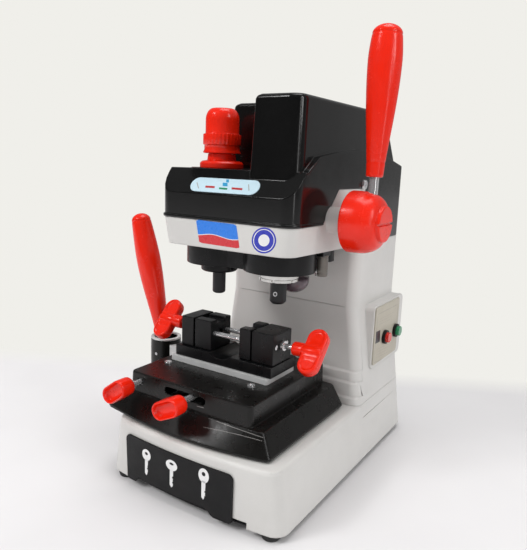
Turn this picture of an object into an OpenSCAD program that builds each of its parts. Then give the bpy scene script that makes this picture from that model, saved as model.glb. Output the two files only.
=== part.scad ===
// Key duplicating machine: vertical cutter and tracer over a cross-slide vise.
// X to the right, Y to the back, Z up. The origin is on the floor under the middle of the base.

/* [Base casting] */
// Width of the base at its lower edge
base_w = 282; // [260:1:310]
// Depth of the base at its lower edge
base_d = 410; // [390:1:440]
// Height of the base from its lower edge to the deck
base_h = 80; // [70:1:90]
// Bulge of the front face in plan
front_bow = 8; // [2:1:14]
// Radius of the vertical corners of the base
base_corner = 20; // [12:1:28]
// Wall of the castings
cast_wall = 5; // [4:0.5:7]
// Thickness of the deck
deck_t = 7; // [5:1:12]
// Height of the rubber feet below the casting
foot_h = 9; // [6:1:14]
// Diameter of a rubber foot
foot_d = 26; // [22:1:34]
// Thickness of the bottom plate
bottom_t = 2; // [1.5:0.5:4]
// Diameter of the foot screws
foot_screw_d = 5; // [4:0.5:6]
// Width of the name plate
plate_w = 180; // [120:2:200]
// Height of the name plate at its ends
plate_h = 65; // [45:1:70]
// Thickness of the name plate
plate_t = 2.5; // [1.5:0.5:4]

/* [Column and head] */
// Width of the column above its shoulder
column_w = 221; // [205:1:235]
// Y of the front face of the column
column_y = 37; // [30:1:45]
// Height above the deck at which the sides turn vertical
shoulder_h = 146; // [130:1:165]
// Height of the underside of the head above the deck
throat_h = 240; // [234:1:250]
// Height of the head casting's front wall
head_h = 36; // [28:1:44]
// Y of the front face of the head
head_y = -145; // [-152:1:-138]
// Width of the head at its front
head_w = 210; // [204:1:214]
// Draft of the head's lower edge on each side
head_draft = 5; // [2:1:7]
// Radius of the vertical corners of the head
head_corner = 20; // [12:1:26]
// Rise of the bearing boss above the head's front wall
boss_rise = 44; // [40:1:48]
// Drop of the cover's seam at the back below the head's front wall
seam_drop = 34; // [26:1:40]
// Step of each moulding at the foot of the column
plinth_step = 3; // [2:0.5:3]

/* [Top cover] */
// Wall of the moulded cover
cover_wall = 3; // [2:0.5:4]
// Height of the front fascia
fascia_h = 34; // [28:1:40]
// Rise of the sloping panel
panel_rise = 31; // [26:1:36]
// Depth of the sloping panel
panel_depth = 25; // [20:1:30]
// Height of the hump above the head's front wall
hump_h = 157; // [142:1:165]
// X of the left side of the front hump
hump_x = 28; // [24:1:36]
// X of the left side of the rear hump
hump_left = -71; // [-80:1:-60]
// Y of the front of the rear hump
hump_rear_y = -35; // [-40:1:-30]
// Length of the control panel
led_w = 106; // [90:1:112]
// Width of the control panel
led_h = 22; // [16:1:24]
// Thickness of the control panel
led_t = 1.2; // [0.8:0.2:2]

/* [Lever] */
// Height of the lever's axis above the head's front wall
lever_rise = 6; // [3:0.5:8]
// Y of the lever's axis
lever_y = -50; // [-54:1:-46]
// Diameter of the lever shaft
shaft_d = 16; // [12:1:18]
// Wall of the shaft bushings
bushing_wall = 3; // [2:0.5:4]
// Teeth of the pinion
pinion_teeth = 23; // [20:1:25]
// Gear module of pinion and rack
gear_module = 2; // [1.8:0.1:2.1]
// Width of the pinion and rack
gear_w = 16; // [12:1:20]
// Diameter of the hub
hub_d = 78; // [66:1:84]
// X of the back face of the hub
hub_x = 133; // [128:1:138]
// Length of the hub
hub_l = 43; // [38:1:50]
// Diameter of the hub's end cap
hub_cap_d = 45; // [36:1:50]
// Thickness of the hub's end cap
hub_cap_t = 5; // [3:0.5:7]
// Lean of the lever to the back at rest
lever_lean = 3; // [0:0.2:6]
// Diameter of the lever rod
lever_rod_d = 12; // [8:0.5:13]
// Distance from the lever's axis to the lower end of the grip
grip_start = 56.5; // [50:0.5:70]
// Length of the lever grip
grip_l = 179; // [150:1:200]
// Largest diameter of the lever grip
grip_d = 41; // [32:1:44]
// Diameter of the lever grip's lower end
grip_neck_d = 21; // [18:1:26]

/* [Head carriage] */
// Distance between the tracer and cutter axes
axis_gap = 99.5; // [98:0.5:102]
// X of the tracer's axis
tracer_x = -53.3; // [-54:0.1:-52]
// Y of the tracer and cutter axes
axis_y = -75; // [-77:1:-73]
// Stroke of the carriage
stroke = 28; // [22:1:28]
// Diameter of the tracer drum
tracer_drum_d = 92; // [84:1:94]
// Diameter of the cutter drum
cutter_drum_d = 97; // [90:1:98]
// Height of the drums
drum_h = 27.5; // [25:0.5:29]
// Gap between the drums and the head
drum_gap = 1.5; // [1:0.5:3]
// Height of the upper housing
upper_h = 20.5; // [18:0.5:20.5]
// Thickness of the motor plate
motor_plate_t = 5; // [4:0.5:6]
// Diameter of the guide rods
z_rod_d = 10; // [8:1:12]
// X of the guide rods
z_rod_x = 88; // [87:0.5:88]
// Y of the guide rods
z_rod_y = -41; // [-42:1:-40]
// Wall of the guide bushings
z_bush_wall = 3; // [2:0.5:3]
// Diameter of the motor
motor_d = 56; // [44:1:56]
// Height of the motor
motor_h = 83; // [60:1:100]
// X of the motor
motor_x = 66; // [64:1:66]
// Y of the motor
motor_y = -5; // [-6:1:-4]
// Diameter of the motor pulley
motor_pulley_d = 28; // [20:1:30]
// Diameter of the spindle pulley
spindle_pulley_d = 34; // [30:1:36]
// Width of the drive belt
belt_w = 9; // [6:1:9]
// Thickness of the drive belt
belt_t = 2; // [1.2:0.2:2.6]
// Diameter of the spindle
spindle_d = 15; // [12:1:17]
// Outer diameter of the spindle bearings
bearing_d = 35; // [32:1:37]
// Width of a spindle bearing
bearing_w = 11; // [8:1:11]
// Diameter of the retaining ring under the cutter drum
retainer_d = 54; // [48:1:58]
// Height of the retaining ring
retainer_h = 13.5; // [10:0.5:15]
// Diameter of the chuck
chuck_d = 22.6; // [20:0.2:23]
// Length of the chuck below the retaining ring
chuck_l = 32; // [28:1:36]
// Diameter of the cutter and tracer shanks
shank_d = 6; // [5:0.5:8]
// Depth of the shank bores
shank_l = 22; // [16:1:24]
// Diameter of the lamp lens
lamp_d = 43; // [34:1:43]

/* [Tracer] */
// Diameter of the tracer flange
tracer_flange_d = 52; // [44:1:56]
// Height of the tracer flange
tracer_flange_h = 12.5; // [8:0.5:14]
// Diameter of the tracer holder
holder_d = 18.6; // [17:0.2:20]
// Reach of the tracer holder below its flange
holder_reach = 33; // [28:1:36]
// Adjustment of the tracer each way
tracer_adjust = 4; // [2:0.5:4]
// Diameter of the tracer screw's thread
tracer_thread_d = 10; // [8:0.5:10]
// Height of the drive's socket above the carriage
drive_l = 37; // [34:1:38]
// Width across flats of the telescopic drive
drive_af = 8; // [6:0.5:9]
// Diameter of the knob's dome
dome_d = 46; // [40:1:48]
// Height of the knob's dome
dome_h = 34; // [28:1:40]
// Diameter of the knob's grip ring
ring_d = 52; // [48:1:56]
// Height of the knob's grip ring
ring_h = 15; // [10:1:18]
// Height of the knob's skirt
skirt_h = 11; // [8:1:14]
// Diameter of the collar's flange
collar_d = 60; // [54:1:66]
// Height of the collar's flange
collar_h = 9.5; // [6:0.5:12]
// Height of the collar's neck
neck_h = 10; // [8:1:14]

/* [Table] */
// X of the middle of the table at rest
table_x = -25.4; // [-26:0.2:-25]
// Half width of the table's top
top_half = 102; // [98:1:106]
// Half width of the table at its ledge
ledge_half = 121; // [116:1:124]
// Half width of the table's rim
rim_half = 136.5; // [130:0.5:138]
// Y of the front of the table's top
table_front = -177; // [-180:1:-176]
// Y of the back of the table
table_rear = 18; // [14:1:19]
// Forward reach of the rim below the top's front
rim_reach = 13; // [8:1:16]
// Bulge of the rim in plan
rim_bow = 16; // [6:1:18]
// Gap between the deck and the rim
rim_gap = 3; // [2:0.5:4]
// Height of the skirt from the rim to the ledge
skirt_rise = 29; // [24:1:30]
// Height of the top above the ledge
top_rise = 28; // [26:1:32]
// Wall of the table cover
table_wall = 3; // [2:0.5:3]
// Reach of the saddle in front of the tools' axes
saddle_reach = 43; // [40:1:46]
// Distance from the table's front to its cover screws
screw_inset = 53; // [48:1:56]
// Travel of the table to the left
x_left = 7; // [4:1:10]
// Travel of the table to the right
x_right = 30; // [24:1:32]
// Travel of the table to the front
y_front = 26; // [18:1:26]
// Travel of the table to the back
y_back = 8; // [4:1:8]
// Diameter of the cross-slide rods in Y
y_rod_d = 12; // [10:1:14]
// Spacing of the Y rods
y_rod_gap = 100; // [90:1:104]
// Diameter of the cross-slide rods in X
x_rod_d = 10; // [8:1:12]
// Height of the slot for the saddle's lock screw
lock_slot = 10; // [9:0.5:12]

/* [Vise] */
// Width of the spacer plate under the vise
riser_w = 168; // [160:1:176]
// Depth of the spacer plate
riser_d = 74; // [70:1:80]
// Thickness of the spacer plate
riser_t = 8.5; // [6:0.5:12]
// Y of the front of the spacer plate
riser_y = -109; // [-112:1:-106]
// Width of the vise base
vise_w = 166; // [160:1:170]
// Depth of the vise base
vise_d = 67; // [62:1:70]
// Height of the vise base
vise_h = 15.5; // [12:0.5:18]
// Width of a jaw block across both halves
block_w = 54; // [48:1:57]
// Depth of the jaw blocks
jaw_d = 48; // [44:1:52]
// Height of the jaw blocks
jaw_h = 43.5; // [38:0.5:48]
// Y of the front of the jaws
jaw_y = -99; // [-100:1:-97]
// Width of the moving jaws
moving_w = 22; // [18:1:24]
// Gap between a jaw pair at rest
key_gap = 2.6; // [2.2:0.1:3.2]
// Opening of each jaw from rest
jaw_open = 4; // [2:0.5:5]
// Closing of each jaw from rest
jaw_close = 2; // [1:0.2:2]
// Diameter of the jaw guide rods
guide_d = 7; // [5:0.5:8]
// Spacing of the jaw guide rods
guide_gap = 28; // [24:1:32]
// Height of the rods and screws above the vise base
guide_rise = 24; // [20:1:27]
// Diameter of the clamp screws
screw_d = 8; // [6:0.5:9]
// Length of bare screw between jaw and knob
screw_gap = 17.5; // [12:0.5:20]
// Length of a wing knob's wing
wing_l = 66; // [56:1:72]
// Width of a wing knob's wing along its axis
wing_w = 29; // [24:1:34]
// Thickness of a wing knob's wing
wing_t = 15; // [11:1:18]
// Diameter of a wing knob's hub
wing_hub_d = 20; // [16:1:24]
// Length of a wing knob's hub
wing_hub_l = 16; // [12:1:22]
// Turn of the wing knobs at rest
wing_turn = 42; // [0:1:60]

/* [Lock knobs] */
// Length of a lock knob's wing
lock_l = 44; // [36:1:48]
// Width of a lock knob's wing along its axis
lock_w = 26; // [20:1:28]
// Thickness of a lock knob's wing
lock_t = 24; // [14:1:26]
// X of the saddle's lock knob
lock_x = -19; // [-22:1:-14]
// Distance from the table's left side to its lock knob
lock_inset = 18.4; // [17:0.2:24]
// Reach of the lock knobs in front of the table
lock_reach = 25; // [22:1:28]
// Diameter of the lock screws
lock_screw_d = 8; // [6:0.5:8.5]
// Turn of the saddle's lock knob at rest
lock_turn = 25; // [0:1:45]
// Turn of the table's lock knob at rest
table_lock_turn = 36; // [0:1:45]

/* [Joystick] */
// X of the joystick's pivot at rest
stick_x = -187.3; // [-189:0.2:-187]
// Y of the joystick's pivot
stick_y = -39; // [-40:1:-36]
// Height of the joystick's pivot above the deck
stick_rise = 40; // [39:0.5:41]
// Lean of the joystick to the left at rest
stick_lean = 14.7; // [12:0.1:16]
// Outer diameter of the sleeve
sleeve_d = 49; // [48:0.5:50]
// Wall of the sleeve
sleeve_wall = 3; // [2:0.5:3]
// Height of the sleeve
sleeve_h = 59; // [52:1:60]
// Diameter of the joystick rod
stick_d = 9; // [7:0.5:10]
// Length of the rod below the pivot
stick_low = 89.7; // [88:0.1:91]
// Diameter of the ball at the rod's lower end
ball_d = 14; // [11:1:16]
// Distance from the pivot to the joystick's grip
stick_grip_start = 41; // [38:1:50]
// Length of the joystick's grip
stick_grip_l = 189; // [150:1:200]
// Largest diameter of the joystick's grip
stick_grip_d = 39; // [28:1:42]

/* [Switches and inlet] */
// Height of the switch boss above the column's side
switch_boss = 16; // [16:0.5:18.5]
// Y of the middle of the switch plate
switch_y = 129.5; // [122:0.5:132]
// Height of the middle of the switch plate above the deck
switch_rise = 96; // [92:1:98]
// Length of the switch plate
switch_l = 101; // [84:1:104]
// Height of the switch plate
switch_h = 91; // [76:1:92]
// Thickness of the switch plate
switch_t = 2; // [1:0.5:3]
// Spacing of the push buttons
button_gap = 47; // [38:1:50]
// Diameter of the button bezels
bezel_d = 21; // [18:1:24]
// Diameter of the push buttons
button_d = 16; // [12:1:16]
// Travel of the push buttons
button_travel = 3; // [2:0.5:4]
// Height of the button bezels above the plate
bezel_h = 5; // [3:0.5:6]
// Height of the mains inlet above the base's lower edge
inlet_rise = 41; // [32:1:46]

/* [Hidden] */
$fn = 64;

// Radial clearance of running fits
run = 0.05;
// Gap between neighbours that move past each other
slip = 0.2;
// Radial clearance of screw holes
hole_gap = 0.25;

// Heights and faces that the pieces share
deck_z = foot_h + base_h;
front_y = -base_d/2;
rear_y = base_d/2;
half0 = base_w/2;
half1 = column_w/2;
switch_x = half1 + switch_boss;
shoulder_z = deck_z + shoulder_h;
head_z = deck_z + throat_h;
head_top = head_z + head_h;
boss_z = head_top + boss_rise;
seam_back = head_top - seam_drop;
lever_z = head_top + lever_rise;
web_top = head_z + 6;
front_half = head_w/2;
nose_rear = column_y - 7;
column_corner = 16;
edge_r = 6;

// Half width of the tapering sides at height z
function side_x(z) = z >= shoulder_z ? half1
    : half0 + (half1 - half0)*(z - foot_h)/(shoulder_z - foot_h);

// Quarter circle of n steps about (cx, cy) from angle a0
function arc(cx, cy, r, a0, n) = [for (i = [0:n]) [cx + r*cos(a0 + 90*i/n), cy + r*sin(a0 + 90*i/n)]];

// Plan outline: half width hf in front, hr from y = ym on, corners rf and rr, bowed front
function plan(hf, hr, yf, ym, yr, rf, rr, bow) = concat(
    bow > 0 ? [for (i = [-7:7]) let(t = i/8) [t*(hf - rf), yf - bow*(1 - t*t)]] : [],
    arc(hf - rf, yf + rf, rf, -90, 5),
    [[hr, ym]],
    arc(hr - rr, yr - rr, rr, 0, 5),
    arc(rr - hr, yr - rr, rr, 90, 5),
    [[-hr, ym]],
    arc(rf - hf, yf + rf, rf, 180, 5));

// Rounded rectangle from (x0, y0) to (x1, y1)
function panel(x0, y0, x1, y1, r) = concat(
    arc(x1 - r, y0 + r, r, -90, 6),
    arc(x1 - r, y1 - r, r, 0, 6),
    arc(x0 + r, y1 - r, r, 90, 6),
    arc(x0 + r, y0 + r, r, 180, 6));

function lift(points, z) = [for (p = points) [p[0], p[1], z]];

// Closed skin over rings that have equally many points, from the lowest up
module loft(rings) {
    n = len(rings[0]);
    m = len(rings);
    polyhedron(
        points = [for (r = rings) each r],
        faces = concat(
            [[for (i = [0:n - 1]) i]],
            [[for (i = [n - 1:-1:0]) (m - 1)*n + i]],
            [for (k = [0:m - 2], i = [0:n - 1])
                let(j = (i + 1) % n, a = k*n, b = (k + 1)*n) each [[a + i, b + i, b + j], [a + i, b + j, a + j]]]));
}

module box(x0, x1, y0, y1, z0, z1) {
    translate([x0, y0, z0]) cube([x1 - x0, y1 - y0, z1 - z0]);
}

// Cylinders along Z, X and Y from one end to the other
module zcyl(x, y, z0, z1, r) {
    translate([x, y, z0]) cylinder(h = z1 - z0, r = r);
}

module xcyl(x0, x1, y, z, r) {
    translate([x0, y, z]) rotate([0, 90, 0]) cylinder(h = x1 - x0, r = r);
}

module ycyl(x, y0, y1, z, r) {
    translate([x, y1, z]) rotate([90, 0, 0]) cylinder(h = y1 - y0, r = r);
}

// Draws a (y, z) outline and extrudes it from x0 to x1
module along_x(x0, x1) {
    translate([x0, 0, 0]) rotate([90, 0, 90]) linear_extrude(x1 - x0) children();
}

// Draws an (x, z) outline and extrudes it from y0 to y1
module along_y(y0, y1) {
    translate([0, y1, 0]) rotate([90, 0, 0]) linear_extrude(y1 - y0) children();
}

// ---- Base ----

foot_x = half0 - base_corner - 1;
foot_y = rear_y - base_corner + 6;
foot_places = [[-foot_x, -foot_y], [foot_x, -foot_y], [foot_x, foot_y], [-foot_x, foot_y]];
plinth_y = column_y - 3*plinth_step;
wire_x = 60;
front_relief = 8.5;

// Y rods of the cross slide and their lugs on the deck
y_rod_z = deck_z + 13;
lug_t = 10;
lug_h = 23;
saddle_front = axis_y - saddle_reach;
saddle_rear = axis_y + 23;
front_lug_y = saddle_front - y_front - 4 - lug_t;
rear_lug_y = saddle_rear + y_back + 4;

// Joystick socket on the side of the base
stick_z = deck_z + stick_rise;
ball_x = stick_x + stick_low*sin(stick_lean);
ball_z = stick_z - stick_low*cos(stick_lean);
ball_play = 2.5;
socket_r = ball_d/2 + ball_play;
socket_top = stick_z - stick_low + ball_d/2 + 6.7;
socket_floor = stick_z - stick_low - ball_d/2 - 1.3;
bracket_z0 = socket_floor - 4;
pad_z0 = foot_h + 5;
pad_z1 = socket_top + 2;
pad_half = 25;
flange_t = 4;
flange_x = -half0 - flange_t;
bracket_holes = [for (a = [-1, 1], b = [pad_z0 + 7, pad_z1 - 7]) [stick_y + a*(pad_half - 6), b]];

inlet_x = 60;
inlet_z = foot_h + inlet_rise;
inlet_w = 27;
inlet_h = 20;

function base_ring(z, i) = lift(plan(side_x(z) - i, side_x(z) - i, front_y + i, 0, rear_y - i,
    base_corner - i, base_corner - i, front_bow), z);

module base_casting() {
    color("gainsboro") difference() {
        union() {
            difference() {
                union() {
                    loft([base_ring(foot_h, 0), base_ring(deck_z - edge_r, 0), base_ring(deck_z - 3.2, 0.8),
                        base_ring(deck_z - 1, 2.8), base_ring(deck_z, edge_r)]);
                    loft([for (z = [deck_z - 20, deck_z]) column_ring(z, 0, plinth_y)]);
                    box(-half0, -half0 + 40, stick_y - pad_half, stick_y + pad_half, pad_z0, pad_z1);
                }
                loft([base_ring(foot_h - 1, cast_wall), base_ring(deck_z - deck_t, cast_wall)]);
            }
            intersection() {
                loft([base_ring(foot_h, 1), base_ring(deck_z - 1, 1)]);
                union() {
                    for (p = foot_places) zcyl(p[0], p[1], foot_h + bottom_t, deck_z - 1, 9);
                    box(-half0, -half0 + 24, stick_y - pad_half, stick_y + pad_half, pad_z0, pad_z1);
                }
            }
            for (x = [-1, 1], y = [front_lug_y, rear_lug_y])
                box(x*y_rod_gap/2 - 10, x*y_rod_gap/2 + 10, y, y + lug_t, deck_z - 1, deck_z + lug_h);
        }
        for (x = [-1, 1]) ycyl(x*y_rod_gap/2, front_lug_y - 1, rear_lug_y + lug_t + 1, y_rod_z, y_rod_d/2);
        for (p = foot_places) zcyl(p[0], p[1], foot_h, foot_h + 22, foot_screw_d/2);
        box(-95, 95, front_y - front_bow - 1, front_y + cast_wall, foot_h - 1, foot_h + front_relief);
        box(-wire_x, wire_x, column_y + 30, rear_y - 30, deck_z - deck_t - 1, deck_z + 1);
        for (h = bracket_holes) xcyl(-half0 - 1, -half0 + 12, h[0], h[1], 2.5);
        box(inlet_x - inlet_w/2, inlet_x + inlet_w/2, rear_y - cast_wall - 1, rear_y + 1,
            inlet_z - inlet_h/2, inlet_z + inlet_h/2);
    }
}

module bottom_plate() {
    color("dimgray") difference() {
        translate([0, 0, foot_h]) linear_extrude(bottom_t) polygon(plan(half0 - cast_wall - 1, half0 - cast_wall - 1,
            front_y + cast_wall + 0.5, 0, rear_y - cast_wall - 0.5, base_corner - cast_wall,
            base_corner - cast_wall, front_bow));
        for (p = foot_places) zcyl(p[0], p[1], foot_h - 1, foot_h + bottom_t + 1, foot_screw_d/2 + hole_gap);
    }
}

module rubber_feet() {
    color("black") for (p = foot_places) translate([p[0], p[1], 0]) rotate_extrude() polygon([
        [foot_screw_d/2 + hole_gap, 4], [foot_screw_d + 0.5, 4], [foot_screw_d + 0.5, 0], [foot_d/2 - 3, 0],
        [foot_d/2 - 1.5, 0.8], [foot_d/2, foot_h], [foot_screw_d/2 + hole_gap, foot_h]]);
}

// Screws with a round head: along +Z from the head, thread l long
module round_screw(d, l, head_d, head_h) {
    cylinder(h = l, d = d);
    translate([0, 0, -head_h]) difference() {
        cylinder(h = head_h, d = head_d);
        translate([0, 0, -0.1]) cylinder(h = head_h*0.5, r = head_d*0.24, $fn = 6);
    }
}

cover_screw_y = 38;
cover_screw_z = boss_z + 6;
cover_screw_x = half1;

module machine_screws() {
    color("silver") {
        for (p = foot_places) translate([p[0], p[1], 4]) 
            round_screw(foot_screw_d, foot_h + 14, foot_screw_d*2, 2.5);
        for (s = [-1, 1]) translate([s*cover_screw_x, cover_screw_y, cover_screw_z]) rotate([0, -90*s, 0])
            round_screw(5, 9, 13, 3.5);
        for (h = bracket_holes) translate([flange_x, h[0], h[1]]) rotate([0, 90, 0]) round_screw(5, 12, 8.5, 3);
    }
}

// The plate reaches down to the base's lower edge at two tabs
plate_x = -13.75;
tab_left = 19;
tab_right = 34;
plate_low = foot_h + 0.5;

module name_plate() {
    hw = half0 - base_corner;
    function bow_y(x) = front_y - front_bow*(1 - pow(x/hw, 2));
    x0 = plate_x - plate_w/2;
    x1 = plate_x + plate_w/2;
    n = 24;
    color([0.08, 0.08, 0.09]) intersection() {
        linear_extrude(deck_z) polygon(concat(
            [for (i = [0:n]) let(x = x0 + plate_w*i/n) [x, bow_y(x) - plate_t]],
            [for (i = [n:-1:0]) let(x = x0 + plate_w*i/n) [x, bow_y(x) - 0.02]]));
        along_y(front_y - 30, front_y + 10) polygon(concat(
            [[x0 + 2, plate_low], [x0 + tab_left, plate_low], [x0 + tab_left + 5, plate_low + front_relief],
                [x1 - tab_right - 6, plate_low + front_relief], [x1 - tab_right - 2, plate_low + front_relief - 2],
                [x1 - tab_right + 3, plate_low + 2], [x1 - tab_right + 7, plate_low], [x1 - 4, plate_low],
                [x1, plate_low + 3]],
            arc(x1 - 8, plate_low + plate_h - 8, 8, 0, 6),
            arc(x0 + 8, plate_low + plate_h - 8, 8, 90, 6)));
    }
}

module power_inlet() {
    color([0.1, 0.1, 0.1]) difference() {
        union() {
            along_y(rear_y, rear_y + 2.5)
                polygon(panel(inlet_x - 25, inlet_z - 14, inlet_x + 25, inlet_z + 14, 4));
            box(inlet_x - inlet_w/2 + slip, inlet_x + inlet_w/2 - slip, rear_y - 22, rear_y + 1,
                inlet_z - inlet_h/2 + slip, inlet_z + inlet_h/2 - slip);
        }
        box(inlet_x - 11, inlet_x + 11, rear_y - 16, rear_y + 3, inlet_z - 7.5, inlet_z + 7.5);
        for (s = [-1, 1]) ycyl(inlet_x + s*20, rear_y - 1, rear_y + 3, inlet_z, 1.8);
    }
    color("silver") for (x = [-7, 0, 7])
        box(inlet_x + x - 1, inlet_x + x + 1, rear_y - 17, rear_y - 4, inlet_z - 2, inlet_z + 2);
}

// ---- Column and head ----

rear_corner = base_corner;
bush_r = shaft_d/2 + bushing_wall;
right_boss_x0 = front_half - 13;
right_boss_x1 = hub_x - 1.5;
left_bush_x0 = 4 - front_half;
left_bush_x1 = left_bush_x0 + 12;
right_bush_x0 = front_half - 12;
boss_r = bush_r + 6;
inner_boss_r = bush_r + 5;
lug_top = lever_z - bush_r - 1;
lug_bottom = lug_top - 10.5;
z_lug_half = z_rod_d/2 + 3.5;

// Half width of the head's side at y
function head_half(y) = front_half + (half1 - front_half)*(y - head_y)/(column_y - head_y);

z_lug_end = head_half(z_rod_y - z_lug_half) - cast_wall/2 - 2;
hook_x = -30;
hook_y = 22;
hook_z = head_top + 26;
switch_z = deck_z + switch_rise;
button_y0 = switch_y + 13.5 - button_gap/2;
button_y1 = switch_y + 13.5 + button_gap/2;
button_z = switch_z - 8;
switch_floor = 6;

function column_ring(z, i, yf) = lift(plan(side_x(z) - i, side_x(z) - i, yf + i, (yf + rear_y)/2,
    rear_y - i, column_corner - i, rear_corner - i, 0), z);
function head_plan(hf, yf, i) = plan(hf - i, half1 - i, yf + i, column_y, rear_y - i,
    head_corner - i, rear_corner - i, 0);
function head_ring(z, i) = let(t = min(1, max(0, (head_top - z)/head_h)))
    lift(head_plan(front_half - head_draft*t, head_y + 3*t, i), z);

seam = [[lever_y - 22.5, head_top], [lever_y + 16, boss_z], [lever_y + 95, boss_z], [lever_y + 125, seam_back]];

// Everything above the seam between casting and cover
module above_seam() {
    along_x(-half0, half0) polygon(concat([[head_y - 20, head_top]], seam,
        [[rear_y + 20, seam_back], [rear_y + 20, head_top + 300], [head_y - 20, head_top + 300]]));
}

module below_seam() {
    along_x(-half0, half0) polygon(concat([[head_y - 20, head_top]], seam,
        [[rear_y + 20, seam_back], [rear_y + 20, head_z - 40], [head_y - 20, head_z - 40]]));
}

module column_casting() {
    color("gainsboro") difference() {
        union() {
            difference() {
                union() {
                    loft([column_ring(deck_z, 0, column_y), column_ring(shoulder_z, 0, column_y),
                        column_ring(head_z + 1, 0, column_y)]);
                    difference() {
                        loft([head_ring(head_z, 0), head_ring(head_top, 0), head_ring(boss_z + 1, 0)]);
                        above_seam();
                    }
                    for (k = [[1, 51], [2, 35], [3, 13]])
                        loft([for (v = [[0, 0], [k[1] - plinth_step, 0], [k[1], 0.8*plinth_step]])
                            column_ring(deck_z + v[0], 0, column_y - k[0]*plinth_step + v[1])]);
                    along_x(half1 - 12, switch_x)
                        polygon(panel(switch_y - 55, switch_z - 52, rear_y - 5, switch_z + 49, 10));
                }
                loft([column_ring(deck_z - 1, cast_wall, column_y), column_ring(shoulder_z, cast_wall, column_y),
                    column_ring(web_top + 1, cast_wall, column_y)]);
                intersection() {
                    loft([head_ring(head_z - 1, cast_wall), head_ring(head_top, cast_wall),
                        head_ring(boss_z + 2, cast_wall)]);
                    union() {
                        box(-half0, half0, head_y, nose_rear, head_z - 2, boss_z + 3);
                        box(-half0, half0, nose_rear - 1, rear_y, web_top, boss_z + 3);
                    }
                }
                box(half1 - 14, switch_x - 4.5, switch_y - switch_l/2 + switch_floor,
                    switch_y + switch_l/2 - switch_floor, switch_z - switch_h/2 + switch_floor,
                    switch_z + switch_h/2 - switch_floor);
            }
            xcyl(front_half - 2, right_boss_x1, lever_y, lever_z, boss_r);
            xcyl(right_boss_x0, front_half, lever_y, lever_z, inner_boss_r);
            xcyl(1 - front_half, left_bush_x1, lever_y, lever_z, inner_boss_r);
            for (s = [-1, 1]) {
                box(s > 0 ? z_rod_x - z_lug_half : -z_lug_end, s > 0 ? z_lug_end : z_lug_half - z_rod_x,
                    z_rod_y - z_lug_half, z_rod_y + z_lug_half, lug_bottom, lug_top);
                box(s*(cover_screw_x - cover_wall - 3*slip) - (s > 0 ? 9 : 0),
                    s*(cover_screw_x - cover_wall - 3*slip) + (s > 0 ? 0 : 9),
                    cover_screw_y - 10, cover_screw_y + 7, boss_z - 12, cover_screw_z + 8);
            }
            box(hook_x - 8, hook_x + 8, nose_rear, nose_rear + 8, head_z, hook_z + 8);
            box(hook_x - 8, hook_x + 8, hook_y - 8, nose_rear + 1, hook_z, hook_z + 8);
        }
        xcyl(right_bush_x0 - 2, right_boss_x1 + 1, lever_y, lever_z, bush_r);
        xcyl(left_bush_x0, left_bush_x1 + 1, lever_y, lever_z, bush_r);
        for (s = [-1, 1]) {
            zcyl(s*z_rod_x, z_rod_y, head_z, lug_top + 0.5, z_rod_d/2);
            xcyl(s > 0 ? cover_screw_x - 10 : -cover_screw_x, s > 0 ? cover_screw_x : 10 - cover_screw_x,
                cover_screw_y, cover_screw_z, 2.5);
        }
        for (y = [button_y0, button_y1]) xcyl(switch_x - 12, switch_x + 1, y, button_z, bezel_d/2 - 1);
    }
}

module shaft_bushings() {
    color("peru") difference() {
        union() {
            xcyl(left_bush_x0, left_bush_x1, lever_y, lever_z, bush_r);
            xcyl(right_bush_x0, right_boss_x1, lever_y, lever_z, bush_r);
        }
        xcyl(left_bush_x0 - 1, right_boss_x1 + 1, lever_y, lever_z, shaft_d/2 + run);
    }
}

module switch_plate() {
    color("wheat") difference() {
        along_x(switch_x, switch_x + switch_t) polygon(panel(switch_y - switch_l/2, switch_z - switch_h/2,
            switch_y + switch_l/2, switch_z + switch_h/2, 4));
        for (y = [button_y0, button_y1]) xcyl(switch_x - 1, switch_x + switch_t + 1, y, button_z, bezel_d/2 - 1);
    }
}

module button_bezels() {
    color("black") for (y = [button_y0, button_y1]) difference() {
        union() {
            xcyl(switch_x - 7, switch_x + switch_t + 1, y, button_z, bezel_d/2 - 1);
            xcyl(switch_x + switch_t, switch_x + switch_t + bezel_h, y, button_z, bezel_d/2 + 0.5);
        }
        xcyl(switch_x - 12, switch_x + switch_t + 5, y, button_z, button_d/2 + run);
    }
}

module push_button(y) {
    xcyl(switch_x - 7, switch_x + switch_t + bezel_h + button_travel + 2, y, button_z, button_d/2);
}

module red_button() {
    color("red") push_button(button_y0);
}

module green_button() {
    color("green") push_button(button_y1);
}

// ---- Top cover ----

fascia_z = head_top + fascia_h;
top_z = fascia_z + panel_rise;
hump_z = head_top + hump_h;
slope = panel_rise/panel_depth;
slope_s = sqrt(1 + slope*slope);
hump_foot = fascia_z + 14;
hump_right0 = front_half - 7;
hump_draft = 4;
hump_lean = 9;
hump_front = head_y + 16;
hump_break = top_z + 10;
hump_back = rear_y - 47;
hump_corner = 18;
pad_z = top_z + 0.5;
pad_y0 = axis_y - 55;
knob_x = tracer_x;

function hump_outline(x0, x1, y0, y1, r0, r1) = concat(
    arc(x1 - r1, y0 + r1, r1, -90, 5), arc(x1 - 14, y1 - 14, 14, 0, 5),
    arc(x0 + 14, y1 - 14, 14, 90, 5), arc(x0 + r0, y0 + r0, r0, 180, 5));
function rise(z) = (z - hump_foot)/(hump_z - hump_foot);
function back_y(z) = z < hump_break ? rear_y - 0.5
    : rear_y - 0.5 + (hump_back - rear_y)*(z - hump_break)/(hump_z - 6 - hump_break);

// Levels of a hump as height and inset
function levels(i) = [[hump_foot - 19*min(1, i), 0], [hump_break, 0], [hump_z - 6 - i, 0], [hump_z - 2.2 - i, 1.4],
    [hump_z - i, 5]];

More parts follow.
